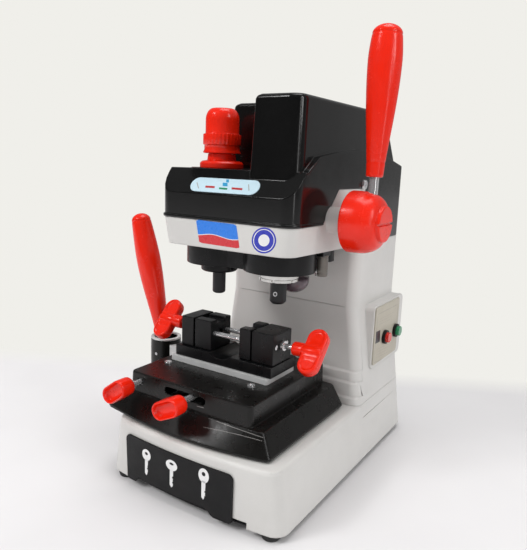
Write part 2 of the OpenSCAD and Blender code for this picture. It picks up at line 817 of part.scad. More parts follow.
module cover_solid(i) {
    intersection() {
        translate([0, 0, head_z - 30]) linear_extrude(head_h + 200) polygon(head_plan(front_half, head_y, i));
        union() {
            along_x(-half1, half1) polygon([[head_y - 5, head_z - 29],
                [head_y + i, head_z - 29], [head_y + i, fascia_z + (slope - slope_s)*i],
                [head_y + (panel_rise - i + slope_s*i)/slope, top_z - i], [rear_y + 5, top_z - i],
                [rear_y + 5, head_z - 29]]);
            along_x(60, half1) polygon([for (p = [[-118, -6], [-112, 3], [-88, 19], [-33, 27], [30, 32],
                [120, 26], [205, 10], [205, -20], [-118, -20]]) [p[0] + i/2, top_z + p[1] - i]]);
        }
    }
    loft([for (v = levels(i)) let(t = max(0, rise(v[0])), n = i + v[1]) lift(hump_outline(
        hump_x + n, hump_right0 - hump_draft*t - n, hump_front + hump_lean*t + n, back_y(v[0]) - n,
        5, hump_corner - n), v[0])]);
    loft([for (v = levels(i)) let(t = max(0, rise(v[0])), n = i + v[1]) lift(hump_outline(
        hump_left + n, hump_x + 30 - n, hump_rear_y + 3*t + n, back_y(v[0]) - n, 14, 14), v[0])]);
    translate([0, 0, fascia_z + 8]) linear_extrude(pad_z - fascia_z - 8 - i) polygon(concat(
        [[hump_x + 3, pad_y0 + i], [hump_x + 3, hump_rear_y + 6]],
        arc(knob_x - 18.7 + 20 + i, hump_rear_y - 14 - i, 20, 90, 6),
        arc(knob_x - 18.7 + 20 + i, pad_y0 + 20 + i, 20, 180, 6)));
}

module top_cover() {
    color([0.12, 0.12, 0.13]) difference() {
        union() {
            cover_solid(0);
            intersection() {
                translate([0, 0, head_top]) linear_extrude(4)
                    polygon(head_plan(front_half + 1.5, head_y - 1.5, 0));
                box(-half0, half0, head_y - 5, lever_y - 24, head_top, head_top + 4);
            }
        }
        below_seam();
        cover_solid(cover_wall);
        zcyl(knob_x, axis_y, top_z - 10, pad_z + 1, collar_d/2 - 10);
        for (s = [-1, 1]) xcyl(s > 0 ? half1 - 8 : -half1 - 1, s > 0 ? half1 + 1 : 8 - half1,
            cover_screw_y, cover_screw_z, 2.5 + hole_gap);
        xcyl(front_half - cover_wall - 6, half1 + 1, lever_y, lever_z, boss_r + slip);
    }
}

led_z = fascia_z + 10.2;
led_x = -2;

module control_panel() {
    color("lightblue") translate([led_x, head_y + (led_z - fascia_z)/slope, led_z])
        rotate([atan(slope), 0, 0]) linear_extrude(led_t) polygon(panel(-led_w/2, -led_h/2,
            led_w/2, led_h/2, led_h/2 - 0.01));
}

// ---- Lever ----

pitch_r = pinion_teeth*gear_module/2;
press = 20;
backlash = 0.15;
base_r = pitch_r*cos(press);
rack_y = lever_y - pitch_r;
lever_x = hub_x + 27;

function inv(a) = tan(a) - a*PI/180;
// Half thickness angle of a tooth at radius r
function tooth_a(r) = (PI/2/pinion_teeth + inv(press) - inv(acos(min(1, base_r/r))))*180/PI
    - backlash/pitch_r*90/PI;

module gear_outline() {
    radii = [base_r - 1, base_r, base_r + 0.5, pitch_r, pitch_r + gear_module/2, pitch_r + gear_module];
    polygon([for (k = [0:pinion_teeth - 1]) let(c = 180 + 360*k/pinion_teeth) each concat(
        [for (r = radii) [r*cos(c - tooth_a(r)), r*sin(c - tooth_a(r))]],
        [for (j = [len(radii) - 1:-1:0]) let(r = radii[j]) [r*cos(c + tooth_a(r)), r*sin(c + tooth_a(r))]])]);
}

module pinion_shaft() {
    color("silver") union() {
        xcyl(left_bush_x0 + 0.5, hub_x + 34, lever_y, lever_z, shaft_d/2);
        translate([0, lever_y, lever_z]) along_x(-gear_w/2, gear_w/2) gear_outline();
    }
}

module lever_hub() {
    color("red") difference() {
        translate([hub_x, lever_y, lever_z]) rotate([0, 90, 0]) rotate_extrude($fn = 96) polygon(concat(
            [[0, 0], [hub_d/2 - 2, 0], [hub_d/2, 2], [hub_d/2, 15]],
            [for (a = [10:10:90]) [23 + (hub_d/2 - 23)*cos(a), 15 + (hub_l - 15)*sin(a)]],
            [[hub_cap_d/2 + 0.5, hub_l], [hub_cap_d/2, hub_l + hub_cap_t - 1],
            [hub_cap_d/2 - 1, hub_l + hub_cap_t], [0, hub_l + hub_cap_t]]));
        xcyl(hub_x - 1, hub_x + 34, lever_y, lever_z, shaft_d/2);
        box(hub_x + hub_l + 2, hub_x + hub_l + hub_cap_t + 1, lever_y - hub_cap_d, lever_y + hub_cap_d,
            lever_z - 1.5, lever_z + 1.5);
        lever_frame() translate([0, 0, -0.01]) cylinder(h = hub_d, r = lever_rod_d/2);
    }
}

rod_start = shaft_d/2 + 5;

// Frame along the lever from its rod's inner end
module lever_frame() {
    translate([lever_x, lever_y, lever_z]) rotate([-lever_lean, 0, 0]) translate([0, 0, rod_start]) children();
}

module lever_rod() {
    color("silver") lever_frame() cylinder(h = grip_start + grip_l - 60 - rod_start, r = lever_rod_d/2);
}

// Share of a grip's length where its dome starts
dome_foot = 0.935;

// Radius of a hand grip at the share t of its length: neck n, belly r at share b, share e of r at the dome
function grip_r(t, n, r, b, e) = t < b ? n + (r - n)*pow(sin(90*t/b), 1.4)
    : r - r*(1 - e)*pow((t - b)/(dome_foot - b), 1.5);

module grip_shape(l, n, r, b, e, bore, depth) {
    difference() {
        rotate_extrude() polygon(concat([[0, 0], [n - 1, 0]],
            [for (k = [0:12]) let(t = 0.008 + (dome_foot - 0.008)*k/12) [grip_r(t, n, r, b, e), l*t]],
            [for (a = [15:15:90]) [r*e*cos(a), l*(dome_foot + (1 - dome_foot)*sin(a))]]));
        translate([0, 0, -1]) cylinder(h = depth + 1, r = bore);
    }
}

module lever_grip() {
    color("red") lever_frame() translate([0, 0, grip_start - rod_start])
        grip_shape(grip_l, grip_neck_d/2, grip_d/2, 0.78, 0.88, lever_rod_d/2, grip_l - 60);
}

// ---- Head carriage ----

cutter_x = tracer_x + axis_gap;
drum_top = head_z - drum_gap;
drum_z = drum_top - drum_h;
housing_top = drum_top + upper_h;
pocket_z = housing_top - 18;
plate_top = housing_top + motor_plate_t;
block_z0 = drum_top - 6.5;
block_z1 = housing_top - 3;
rod_low = drum_z - 7;
z_bore_r = z_rod_d/2 + run;
quill_r = holder_d/2;
thread_r = tracer_thread_d/2;
tflange_z = drum_z - tracer_flange_h;
quill_z = tflange_z - holder_reach;
screw_shelf0 = drum_z + 24;
screw_shelf1 = screw_shelf0 + 6;
socket_r2 = drive_af/2/cos(30) + 3;
lamp_x = cutter_x - 2;
lamp_y = -30;
lamp_neck = 14;
motor_r = motor_d/2;
mp_r = motor_pulley_d/2;
sp_r = spindle_pulley_d/2;
ret_z = drum_z - retainer_h;
chuck_z = ret_z - chuck_l;
ring_gap = 0.5;

module pulley_hull(grow, z0, z1) {
    translate([0, 0, z0]) linear_extrude(z1 - z0) hull() {
        translate([cutter_x, axis_y]) circle(r = sp_r + grow);
        translate([motor_x, motor_y]) circle(r = mp_r + grow);
    }
}

module carriage_housing() {
    color([0.12, 0.12, 0.12]) difference() {
        union() {
            zcyl(cutter_x, axis_y, drum_z, drum_top, cutter_drum_d/2);
            zcyl(tracer_x, axis_y, drum_z, drum_top, tracer_drum_d/2);
            box(tracer_x, cutter_x, axis_y - 30, axis_y + 45, drum_z, drum_top);
            zcyl(motor_x, motor_y, drum_z + 8, drum_top, 24);
            zcyl(lamp_x, lamp_y, drum_z, drum_top, lamp_neck + 5);
            pulley_hull(belt_t + 5, drum_top - 1, housing_top);
            zcyl(tracer_x, axis_y, drum_top - 1, housing_top, socket_r2 + 9);
            box(tracer_x, cutter_x, axis_y - 20, axis_y + 6, drum_top - 1, housing_top);
            box(hook_x - 8, hook_x + 8, axis_y, hook_y + 4, housing_top - 10, housing_top);
            box(hook_x - 8, hook_x + 8, axis_y, axis_y + 45, drum_top - 1, housing_top);
            for (s = [-1, 1]) box(s*z_rod_x - 11, s*z_rod_x + 11, z_rod_y - 11, z_rod_y + 11, block_z0, block_z1);
            box(-z_rod_x, -40, z_rod_y - 8, z_rod_y + 8, block_z0, drum_top);
        }
        zcyl(cutter_x, axis_y, drum_z - 1, pocket_z + 1, spindle_d/2 + 2);
        for (z = [drum_z, pocket_z - 4 - bearing_w]) zcyl(cutter_x, axis_y, z - (z == drum_z ? 1 : 0),
            z + bearing_w + (z == drum_z ? 0 : 5), bearing_d/2);
        pulley_hull(belt_t + 2, pocket_z, housing_top + 1);
        zcyl(tracer_x, axis_y, drum_z - 1, screw_shelf0, quill_r + run);
        zcyl(tracer_x, axis_y, screw_shelf0 - 1, housing_top + 1, thread_r + run);
        zcyl(tracer_x, axis_y, screw_shelf1, housing_top + 1, socket_r2 + 3.2);
        for (s = [-1, 1]) {
            zcyl(s*z_rod_x, z_rod_y, drum_z - 1, block_z0, z_rod_d/2 + 1);
            zcyl(s*z_rod_x, z_rod_y, block_z0 - 1, block_z1 + 1, z_bore_r);
        }
        zcyl(motor_x, motor_y, drum_z + 14, pocket_z + 1, 7);
        box(hook_x + 8, cutter_x - 26, axis_y + 6.5, axis_y + 50, drum_top - 0.01, housing_top + 1);
    }
}

module motor_plate() {
    color("dimgray") difference() {
        union() {
            pulley_hull(belt_t + 5, housing_top, plate_top);
            zcyl(tracer_x, axis_y, housing_top, plate_top, socket_r2 + 9);
            box(tracer_x, cutter_x, axis_y - 20, axis_y + 6, housing_top, plate_top);
            zcyl(motor_x, motor_y, housing_top, plate_top, motor_r);
        }
        zcyl(tracer_x, axis_y, housing_top - 1, plate_top + 1, socket_r2 + 0.4);
        zcyl(motor_x, motor_y, housing_top - 1, plate_top + 1, 7);
        zcyl(cutter_x, axis_y, housing_top - 1, housing_top + 2, spindle_d/2 + 1);
        for (s = [-1, 1]) box(s*z_rod_x - z_lug_half - 1, s*z_rod_x + z_lug_half + 1, z_rod_y - z_lug_half - 1,
            z_rod_y + z_lug_half + 1, housing_top - 1, plate_top + 1);
    }
}

module head_guide_rods() {
    color("silver") for (s = [-1, 1]) zcyl(s*z_rod_x, z_rod_y, rod_low, lug_top, z_rod_d/2);
}

module motor() {
    color([0.3, 0.3, 0.32]) difference() {
        union() {
            zcyl(motor_x, motor_y, plate_top, plate_top + motor_h, motor_r);
            zcyl(motor_x, motor_y, plate_top + motor_h - 0.5, plate_top + motor_h + 6, motor_r - 12);
        }
        zcyl(motor_x, motor_y, plate_top - 1, plate_top + 16, 4 + run);
    }
}

module motor_pulley() {
    color("silver") {
        zcyl(motor_x, motor_y, pocket_z + 2, plate_top + 15, 4);
        difference() {
            pulley_wheel(motor_x, motor_y, mp_r);
            zcyl(motor_x, motor_y, pocket_z, housing_top, 4);
        }
    }
}

// Flanged belt wheel in the belt pocket
module pulley_wheel(x, y, r) {
    z0 = pocket_z + 2;
    z1 = housing_top - 2;
    zcyl(x, y, z0, z1, r);
    zcyl(x, y, z0, z0 + 1.5, r + 1.2);
    zcyl(x, y, z1 - 1.5, z1, r + 1.2);
}

module drive_belt() {
    mid = (pocket_z + housing_top)/2;
    color([0.05, 0.05, 0.05]) difference() {
        pulley_hull(0.12 + belt_t, mid - belt_w/2, mid + belt_w/2);
        pulley_hull(0.12, mid - belt_w/2 - 1, mid + belt_w/2 + 1);
    }
}

module spindle_shaft() {
    color("silver") union() {
        zcyl(cutter_x, axis_y, ret_z - 7.5, housing_top - 2, spindle_d/2);
        pulley_wheel(cutter_x, axis_y, sp_r);
    }
}

module spindle_bearings() {
    color("silver") for (z = [drum_z, pocket_z - 4 - bearing_w]) difference() {
        zcyl(cutter_x, axis_y, z, z + bearing_w, bearing_d/2);
        zcyl(cutter_x, axis_y, z - 1, z + bearing_w + 1, spindle_d/2 + run);
    }
}

module retaining_ring() {
    color("silver") difference() {
        translate([cutter_x, axis_y, ret_z]) rotate_extrude($fn = 96) polygon([[chuck_d/2 + 1, 1],
            [retainer_d/2 - 5, 0], [retainer_d/2 - 3, 0], [retainer_d/2, 3], [retainer_d/2, retainer_h],
            [chuck_d/2 + 1, retainer_h]]);
        for (a = [30, 150, 270]) translate([cutter_x, axis_y, ret_z - 1]) rotate([0, 0, a])
            translate([retainer_d/2 - 7, 0, 0]) cylinder(h = 5, r = 2.5, $fn = 24);
    }
}

module chuck() {
    color([0.25, 0.25, 0.27]) difference() {
        translate([cutter_x, axis_y, chuck_z]) rotate_extrude() polygon([[0, 0], [chuck_d/2 - 2.5, 0],
            [chuck_d/2, 2.5], [chuck_d/2, chuck_l + retainer_h - 1], [0, chuck_l + retainer_h - 1]]);
        zcyl(cutter_x, axis_y, chuck_z - 1, chuck_z + shank_l, shank_d/2);
        zcyl(cutter_x, axis_y, ret_z - 7.5, drum_z, spindle_d/2);
        ycyl(cutter_x, axis_y - chuck_d, axis_y, chuck_z + 15, 2.5);
    }
    color("silver") ycyl(cutter_x, axis_y - chuck_d/2 + 0.4, axis_y - shank_d/2 - 0.3, chuck_z + 15, 2.5);
}

module lamp_lens() {
    r = lamp_d/2;
    color([0.35, 0.33, 0.3, 0.6]) translate([lamp_x, lamp_y, drum_z]) difference() {
        rotate_extrude() polygon(concat([[0, 0], [0, -38]],
            [for (a = [80:-10:0]) [r*cos(a), -20 - 18*sin(a)]], [[r, -15], [lamp_neck, -14], [lamp_neck, 0]]));
        translate([0, 0, -1]) cylinder(h = 2, r = 3);
    }
}

module rack() {
    p = PI*gear_module;
    n = 4;
    add = gear_module;
    hp = p/4 - backlash/2;
    k = tan(press);
    y0 = rack_y - 1.25*gear_module;
    color("silver") along_x(-gear_w/2, gear_w/2) polygon(concat(
        [[rack_y - 11, plate_top], [y0, plate_top]],
        [for (j = [-2:n + 1]) let(z = lever_z + (j + 0.5)*p) each [[y0, z - hp - 1.25*add*k],
            [rack_y + add, z - hp + add*k], [rack_y + add, z + hp - add*k], [y0, z + hp + 1.25*add*k]]],
        [[y0, lever_z + (n + 2)*p], [rack_y - 11, lever_z + (n + 2)*p]]));
}

spring_r = 7;
wire_d = 1.8;

module return_spring() {
    coils = floor((hook_z - housing_top)/wire_d);
    step = (hook_z - housing_top)/coils;
    color("silver") translate([hook_x, hook_y, housing_top]) rotate_extrude() polygon(concat(
        [for (i = [0:coils - 1]) each [[spring_r - 0.5, i*step], [spring_r, (i + 0.25)*step],
            [spring_r, (i + 0.75)*step]]],
        [[spring_r - 0.5, coils*step], [spring_r - wire_d, coils*step], [spring_r - wire_d, 0]]));
}

// ---- Tracer ----

module tracer_flange() {
    color([0.15, 0.15, 0.15]) difference() {
        translate([tracer_x, axis_y, tflange_z]) rotate_extrude($fn = 96) polygon([[quill_r + run, 0],
            [tracer_flange_d/2 - 2, 0], [tracer_flange_d/2, 2], [tracer_flange_d/2, tracer_flange_h],
            [quill_r + run, tracer_flange_h]]);
        for (a = [45, 135, 225, 315]) translate([tracer_x, axis_y, tflange_z - 1]) rotate([0, 0, a])
            translate([tracer_flange_d/2 - 6, 0, 0]) cylinder(h = 5, r = 2.5, $fn = 24);
    }
}

module tracer_quill() {
    color([0.2, 0.2, 0.22]) difference() {
        translate([tracer_x, axis_y, quill_z]) rotate_extrude() polygon([[0, 0], [quill_r - 3, 0],
            [quill_r - 0.8, 1], [quill_r, 3], [quill_r, holder_reach + tracer_flange_h + 16],
            [0, holder_reach + tracer_flange_h + 16]]);
        zcyl(tracer_x, axis_y, quill_z - 1, quill_z + shank_l, shank_d/2);
        zcyl(tracer_x, axis_y, tflange_z - 3.5, drum_z + 20, thread_r + run);
    }
}

socket_top2 = housing_top + drive_l;

module tracer_screw() {
    color("silver") difference() {
        union() {
            zcyl(tracer_x, axis_y, tflange_z + 1.5, screw_shelf1 + 1, thread_r);
            zcyl(tracer_x, axis_y, screw_shelf1 + 0.1, housing_top - 0.1, socket_r2 + 3);
            zcyl(tracer_x, axis_y, housing_top - 1, socket_top2, socket_r2);
        }
        translate([tracer_x, axis_y, screw_shelf1 + 3])
            cylinder(h = 100, r = drive_af/2/cos(30) + 0.15, $fn = 6);
    }
}

collar_top = pad_z + collar_h + neck_h;
stem_r = 8;

module tracer_collar() {
    color("red") translate([knob_x, axis_y, pad_z]) rotate_extrude($fn = 96) polygon([
        [stem_r + run, 0], [collar_d/2, 0], [collar_d/2, collar_h - 3], [collar_d/2 - 3, collar_h],
        [20, collar_h + 1], [19, collar_h + neck_h], [stem_r + run, collar_h + neck_h]]);
}

module tracer_knob() {
    z0 = collar_top + slip;
    z1 = z0 + skirt_h;
    z2 = z1 + ring_h;
    z3 = z2 + dome_h;
    color("red") union() {
        translate([knob_x, axis_y, 0]) difference() {
            rotate_extrude($fn = 96) polygon(concat([[0, z0], [ring_d/2 - 3, z0], [ring_d/2 - 2, z0 + 1],
                [ring_d/2 - 2, z1], [ring_d/2, z1 + 1], [ring_d/2, z2 - 1], [ring_d/2 - 2, z2], [dome_d/2, z2],
                [dome_d/2 - 0.5, z3 - 9]], [for (a = [15:15:75]) [dome_d/2 - 9 + 8.5*cos(a), z3 - 9 + 9*sin(a)]],
                [[dome_d/2 - 10, z3], [0, z3]]));
            for (a = [0:20:340]) rotate([0, 0, a]) translate([ring_d/2 + 1.4, 0, z1 - 1])
                cylinder(h = ring_h + 2, r = 2.4, $fn = 16);
        }
        zcyl(knob_x, axis_y, pad_z - cover_wall, z0 + 1, stem_r);
        translate([knob_x, axis_y, screw_shelf1 + 5])
            cylinder(h = pad_z - screw_shelf1 - 5, r = drive_af/2/cos(30), $fn = 6);
    }
}

// ---- Cross slide ----

module saddle_rods() {
    color("silver") for (s = [-1, 1])
        ycyl(s*y_rod_gap/2, front_lug_y, rear_lug_y + lug_t, y_rod_z, y_rod_d/2);
}

plate_z0 = deck_z + 21;
plate_z1 = plate_z0 + 8;
x_rod_z = plate_z1 + 9;
x_rod_half = 21;
block_x = 30;
table_z = plate_z1 + 20;
table_t = 8;
cover_in = table_z + table_t;
cover_z = cover_in + table_wall;
lock_z = cover_z - 12.5;
table_lock_x = table_x - top_half + lock_inset;
saddle_half = 62;
lug_x = top_half - 14;
lock_lug_y = saddle_front - 6;

module saddle() {
    color("dimgray") difference() {
        union() {
            box(-saddle_half, saddle_half, saddle_front, saddle_rear, plate_z0, plate_z1);
            for (s = [-1, 1]) {
                box(s*y_rod_gap/2 - 11, s*y_rod_gap/2 + 11, saddle_front, saddle_rear, deck_z + 5, plate_z0 + 1);
                box(s*block_x - 12, s*block_x + 12, saddle_front, saddle_rear, plate_z1 - 1, plate_z1 + 16);
            }
            box(lock_x - 10, lock_x + 10, lock_lug_y, lock_lug_y + 10, plate_z0, table_z + 5);
        }
        for (s = [-1, 1]) {
            ycyl(s*y_rod_gap/2, saddle_front - 1, saddle_rear + 1, y_rod_z, y_rod_d/2 + run);
            xcyl(-saddle_half, saddle_half, axis_y - 10 + s*x_rod_half, x_rod_z, x_rod_d/2 + run);
        }
        ycyl(lock_x, lock_lug_y - 1, lock_lug_y + 11, lock_z, lock_screw_d/2 + run);
    }
}

// Lock knob with its screw along Y: the wing's back is at y1, the screw ends at y2
module lock_knob(x, y2, turn) {
    y1 = table_front - lock_reach;
    r = lock_t/2;
    translate([x, 0, lock_z]) {
        rotate([0, -turn, 0]) for (s = [-1, 1]) {
            ycyl(s*(lock_l/2 - r), y1 - lock_w, y1, 0, r);
            box(s > 0 ? 0 : -lock_l/2 + r, s > 0 ? lock_l/2 - r : 0, y1 - lock_w + 3, y1, -r*0.7, r*0.7);
        }
        ycyl(0, y1 - lock_w + 1, y1 + 7, 0, lock_screw_d/2 + 4);
        ycyl(0, y1 - 1, y2, 0, lock_screw_d/2);
    }
}

module saddle_lock() {
    color("red") union() lock_knob(lock_x, lock_lug_y + 9, lock_turn);
}

module table_lock() {
    color("red") union() lock_knob(table_lock_x, lock_lug_y + 9, table_lock_turn);
}

module table_rods() {
    color("silver") for (s = [-1, 1])
        xcyl(table_x - lug_x - 6, table_x + lug_x + 6, axis_y - 10 + s*x_rod_half, x_rod_z, x_rod_d/2);
}

screw_places = [[table_x - top_half + 22, table_front + screw_inset],
    [table_x + top_half - 36.6, table_front + screw_inset]];
screw_pad = 7;

module table_plate() {
    color("gray") difference() {
        union() {
            box(table_x - top_half + 6, table_x + top_half - 6, saddle_front + 6, saddle_rear + 30,
                table_z, cover_in);
            for (s = [-1, 1]) box(table_x + s*lug_x - 6, table_x + s*lug_x + 6, saddle_front + 4,
                saddle_rear - 4, x_rod_z - 6.5, table_z + 1);
            box(table_lock_x - 9, table_lock_x + 9, lock_lug_y, lock_lug_y + 11, lock_z - 8, cover_in);
            for (p = screw_places) box(p[0] - 8, p[0] + 8, p[1] - screw_pad, saddle_front + 8, table_z, cover_in);
        }
        for (s = [-1, 1]) xcyl(table_x - lug_x - 7, table_x + lug_x + 7, axis_y - 10 + s*x_rod_half, x_rod_z,
            x_rod_d/2);
        ycyl(table_lock_x, min(lock_lug_y, table_front + screw_inset - screw_pad) - 1, lock_lug_y + 12, lock_z,
            lock_screw_d/2 + run);
        for (p = screw_places) zcyl(p[0], p[1], cover_in - 4, cover_in + 1, 2.5);
    }
}

rim_z = deck_z + rim_gap;
ledge_z = rim_z + skirt_rise;
function table_ring(z, half, yf, bow, i) = [for (q = plan(half - i, half - i, yf + i, -60, table_rear - i,
    max(1, 7 - i), max(1, 7 - i), bow)) [q[0] + table_x, q[1], z]];

module table_shell(i) {
    loft([table_ring(rim_z - i, rim_half, table_front - rim_reach, rim_bow, i),
        table_ring(rim_z + 3 - i, rim_half, table_front - rim_reach, rim_bow, i),
        table_ring(ledge_z - 1 - i, ledge_half, table_front - 3, 3, i),
        table_ring(ledge_z - i, ledge_half - 1, table_front - 2.5, 2, i),
        table_ring(ledge_z + 0.5 - i, top_half + 1, table_front - 1, 1, i),
        table_ring(ledge_z + top_rise - 1.2 - i, top_half, table_front, 1, i),
        table_ring(ledge_z + top_rise - i, top_half - 1.2, table_front + 1.2, 1, i)]);
}

arm_z0 = stick_z - 3;
arm_z1 = arm_z0 + 19.6;
arm_half = 14;

module table_cover() {
    color([0.13, 0.13, 0.14]) difference() {
        table_shell(0);
        table_shell(table_wall);
        zcyl(stick_x, stick_y, rim_z - 5, cover_z + 5, sleeve_d/2 + 1);
        box(table_x - rim_half, table_x - top_half + 5, stick_y - arm_half - 1, stick_y + arm_half + 1,
            arm_z0 - 1, cover_in);
        along_y(table_front - 5, table_front + table_wall + 4) polygon(panel(lock_x - x_right - 14,
            lock_z - lock_slot/2, lock_x + x_left + 18, lock_z + lock_slot/2, lock_slot/2 - 0.01));
        ycyl(table_lock_x, table_front - 5, table_front + table_wall + 4, lock_z, lock_screw_d/2 + 1);
        for (p = screw_places) zcyl(p[0], p[1], cover_in - 1, cover_z + 1, 2.5 + hole_gap);
    }
}

module table_screws() {
    color("silver") for (p = screw_places) translate([p[0], p[1], cover_z]) rotate([180, 0, 0])
        round_screw(5, 7, 10, 3);
}

// ---- Vise ----

riser_z = cover_z + riser_t;
vise_top = riser_z + vise_h;
shift = 25.4;
slot_left = tracer_x - shift;
slot_right = slot_left + axis_gap;
fixed_w = 18.4;
rod_z = vise_top + guide_rise;
jaw_top = vise_top + jaw_h;
left_out = slot_left - key_gap/2 - moving_w;
// Extra length of the right jaw
right_more = 12.5;
right_out = slot_right + key_gap/2 + moving_w + right_more;
jaw_rear = jaw_y + jaw_d;
jaw_mid = jaw_y + jaw_d/2;
vise_x0 = left_out - 6;
riser_x0 = vise_x0 - 5.5;

module riser_plate() {
    color("lightgray") difference() {
        translate([0, 0, cover_z]) linear_extrude(riser_t)
            polygon(panel(riser_x0, riser_y, riser_x0 + riser_w, riser_y + riser_d, 3));
        for (x = [riser_x0 + 30, riser_x0 + riser_w - 30]) zcyl(x, riser_y + riser_d/2, cover_z - 1,
            riser_z + 1, 3.3);
    }
}

module vise_base() {
    color([0.12, 0.12, 0.12]) difference() {
        box(vise_x0, vise_x0 + vise_w, jaw_y - 6, jaw_y - 6 + vise_d, riser_z, vise_top);
        translate([(slot_left + slot_right)/2, 0, vise_top + 24]) rotate([90, 0, 0])
            cylinder(h = 400, r = 30, center = true);
    }
}

// Jaw block with rounded upper edges between x0 and x1
module jaw_block(x0, x1, z0) {
    along_y(jaw_y, jaw_rear) polygon([[x0, z0], [x1, z0], [x1, jaw_top - 1], [x1 - 1, jaw_top],
        [x0 + 1, jaw_top], [x0, jaw_top - 1]]);
}

jaw_gap = 0.1;

module jaw_bores(rod_fit, screw_fit) {
    for (s = [-1, 1]) xcyl(left_out - 20, right_out + 20, jaw_mid + s*guide_gap/2, rod_z, guide_d/2 + rod_fit);
    xcyl(left_out - 20, right_out + 20, jaw_mid, rod_z, screw_d/2 + screw_fit);
}

module fixed_jaws() {
    color([0.16, 0.16, 0.16]) difference() {
        union() {
            jaw_block(slot_left + key_gap/2, left_out + block_w, vise_top);
            jaw_block(slot_right - key_gap/2 - fixed_w, slot_right - key_gap/2, vise_top);
        }
        jaw_bores(0, run);
        for (s = [-1, 1]) box(slot_left, slot_right, jaw_mid - 9, jaw_mid + 9, jaw_top - 5, jaw_top + 1);
    }
}

module jaw_rods() {
    color("silver") for (s = [-1, 1])
        xcyl(left_out + 1, right_out - 1, jaw_mid + s*guide_gap/2, rod_z, guide_d/2);
}

module left_jaw() {
    color([0.16, 0.16, 0.16]) difference() {
        jaw_block(left_out, slot_left - key_gap/2, vise_top + jaw_gap);
        jaw_bores(run, run);
    }
}

module right_jaw() {
    color([0.16, 0.16, 0.16]) difference() {
        jaw_block(slot_right + key_gap/2, right_out, vise_top + jaw_gap);
        jaw_bores(run, run);
    }
}

screw_reach = 13;
thrust_t = 4;

// Clamp screw: shoulder against the jaw, tip in the fixed jaw
module clamp_screw(x_tip, x_face, x_knob) {
    s = x_knob > x_face ? 1 : -1;
    xcyl(min(x_tip, x_knob), max(x_tip, x_knob), jaw_mid, rod_z, screw_d/2);
    xcyl(min(x_face, x_face + s*thrust_t), max(x_face, x_face + s*thrust_t), jaw_mid, rod_z, screw_d/2 + 3);
}

// The left knob stands closer, clear of the joystick's grip
grip_room = 1;
left_knob_x = left_out - screw_gap + grip_room;
right_knob_x = right_out + screw_gap;

module left_clamp_screw() {
    color("silver") clamp_screw(slot_left + key_gap/2 + screw_reach, left_out - jaw_gap,
        left_knob_x - wing_hub_l);
}

module right_clamp_screw() {
    color("silver") clamp_screw(slot_right - key_gap/2 - screw_reach, right_out + jaw_gap,
        right_knob_x + wing_hub_l);
}

// Wing knob along +X from its hub's inner face
module wing_knob() {
    difference() {
        union() {
            rotate([0, 90, 0]) cylinder(h = wing_hub_l + 4, d = wing_hub_d);
            translate([wing_hub_l + wing_w/2, 0, 0]) rotate([-wing_turn, 0, 0]) rotate([90, 0, 0])
                translate([0, 0, -wing_t/2]) linear_extrude(wing_t) union() {
                    for (s = [-1, 1]) translate([0, s*(wing_l - wing_w)/2]) circle(r = wing_w/2);
                    square([wing_w*0.86, wing_l - wing_w], center = true);
                }
        }
        translate([-1, 0, 0]) rotate([0, 90, 0]) cylinder(h = wing_hub_l + 1, d = screw_d);
    }
}

module right_clamp_knob() {
    color("red") translate([right_knob_x, jaw_mid, rod_z]) wing_knob();
}

module left_clamp_knob() {
    color("red") translate([left_knob_x, jaw_mid, rod_z]) mirror([1, 0, 0]) wing_knob();
}

// ---- Joystick ----

sleeve_z0 = deck_z + 4;
sleeve_z1 = sleeve_z0 + sleeve_h;
sleeve_r = sleeve_d/2;
sleeve_in = sleeve_r - sleeve_wall;
gimbal_out = 15;
gimbal_in = 12;
gimbal_h = 8;
hinge_pin_r = 2.5;

module joystick_sleeve() {
    color([0.2, 0.2, 0.2]) difference() {
        translate([stick_x, stick_y, 0]) rotate_extrude($fn = 96) polygon([[sleeve_in, sleeve_z0 + 5],
            [sleeve_in + 2, sleeve_z0], [sleeve_r - 1, sleeve_z0], [sleeve_r, sleeve_z0 + 1],
            [sleeve_r, sleeve_z1], [sleeve_in, sleeve_z1]]);
        ycyl(stick_x, stick_y - 40, stick_y + 40, stick_z, hinge_pin_r + run);
    }
}

module joystick_arm() {
    color("lightgray") {
        difference() {
            box(stick_x, table_x - top_half + 6, stick_y - arm_half, stick_y + arm_half, arm_z0, arm_z1);
            zcyl(stick_x, stick_y, arm_z0 - 1, arm_z1 + 1, sleeve_r);
        }
        translate([stick_x, stick_y, sleeve_z1]) rotate_extrude($fn = 96) polygon([[sleeve_in - 3, 0],
            [sleeve_r, 0], [sleeve_r, 2], [sleeve_r - 1, 3], [sleeve_in - 2, 3], [sleeve_in - 3, 2]]);
    }
}

// Frame along the joystick, up from its pivot
module stick_frame() {
    translate([stick_x, stick_y, stick_z]) rotate([0, -stick_lean, 0]) children();
}

module joystick_gimbal() {
    color("silver") stick_frame() union() {
        difference() {
            translate([0, 0, -gimbal_h/2]) cylinder(h = gimbal_h, r = gimbal_out);
            translate([0, 0, -gimbal_h]) cylinder(h = 2*gimbal_h, r = gimbal_in);
            xcyl(-20, 20, 0, 0, hinge_pin_r + run);
        }
        for (s = [-1, 1]) ycyl(0, s > 0 ? gimbal_out - 1 : -sleeve_r + 0.5, s > 0 ? sleeve_r - 0.5 : 1 - gimbal_out,
            0, hinge_pin_r);
    }
}

module joystick_rod() {
    color("silver") stick_frame() union() {
        translate([0, 0, -stick_low]) cylinder(h = stick_low + stick_grip_start + stick_grip_l - 60, r = stick_d/2);
        translate([0, 0, -stick_low]) sphere(r = ball_d/2);
        sphere(r = 9);
        xcyl(-gimbal_out + 0.2, gimbal_out - 0.2, 0, 0, hinge_pin_r);
    }
}

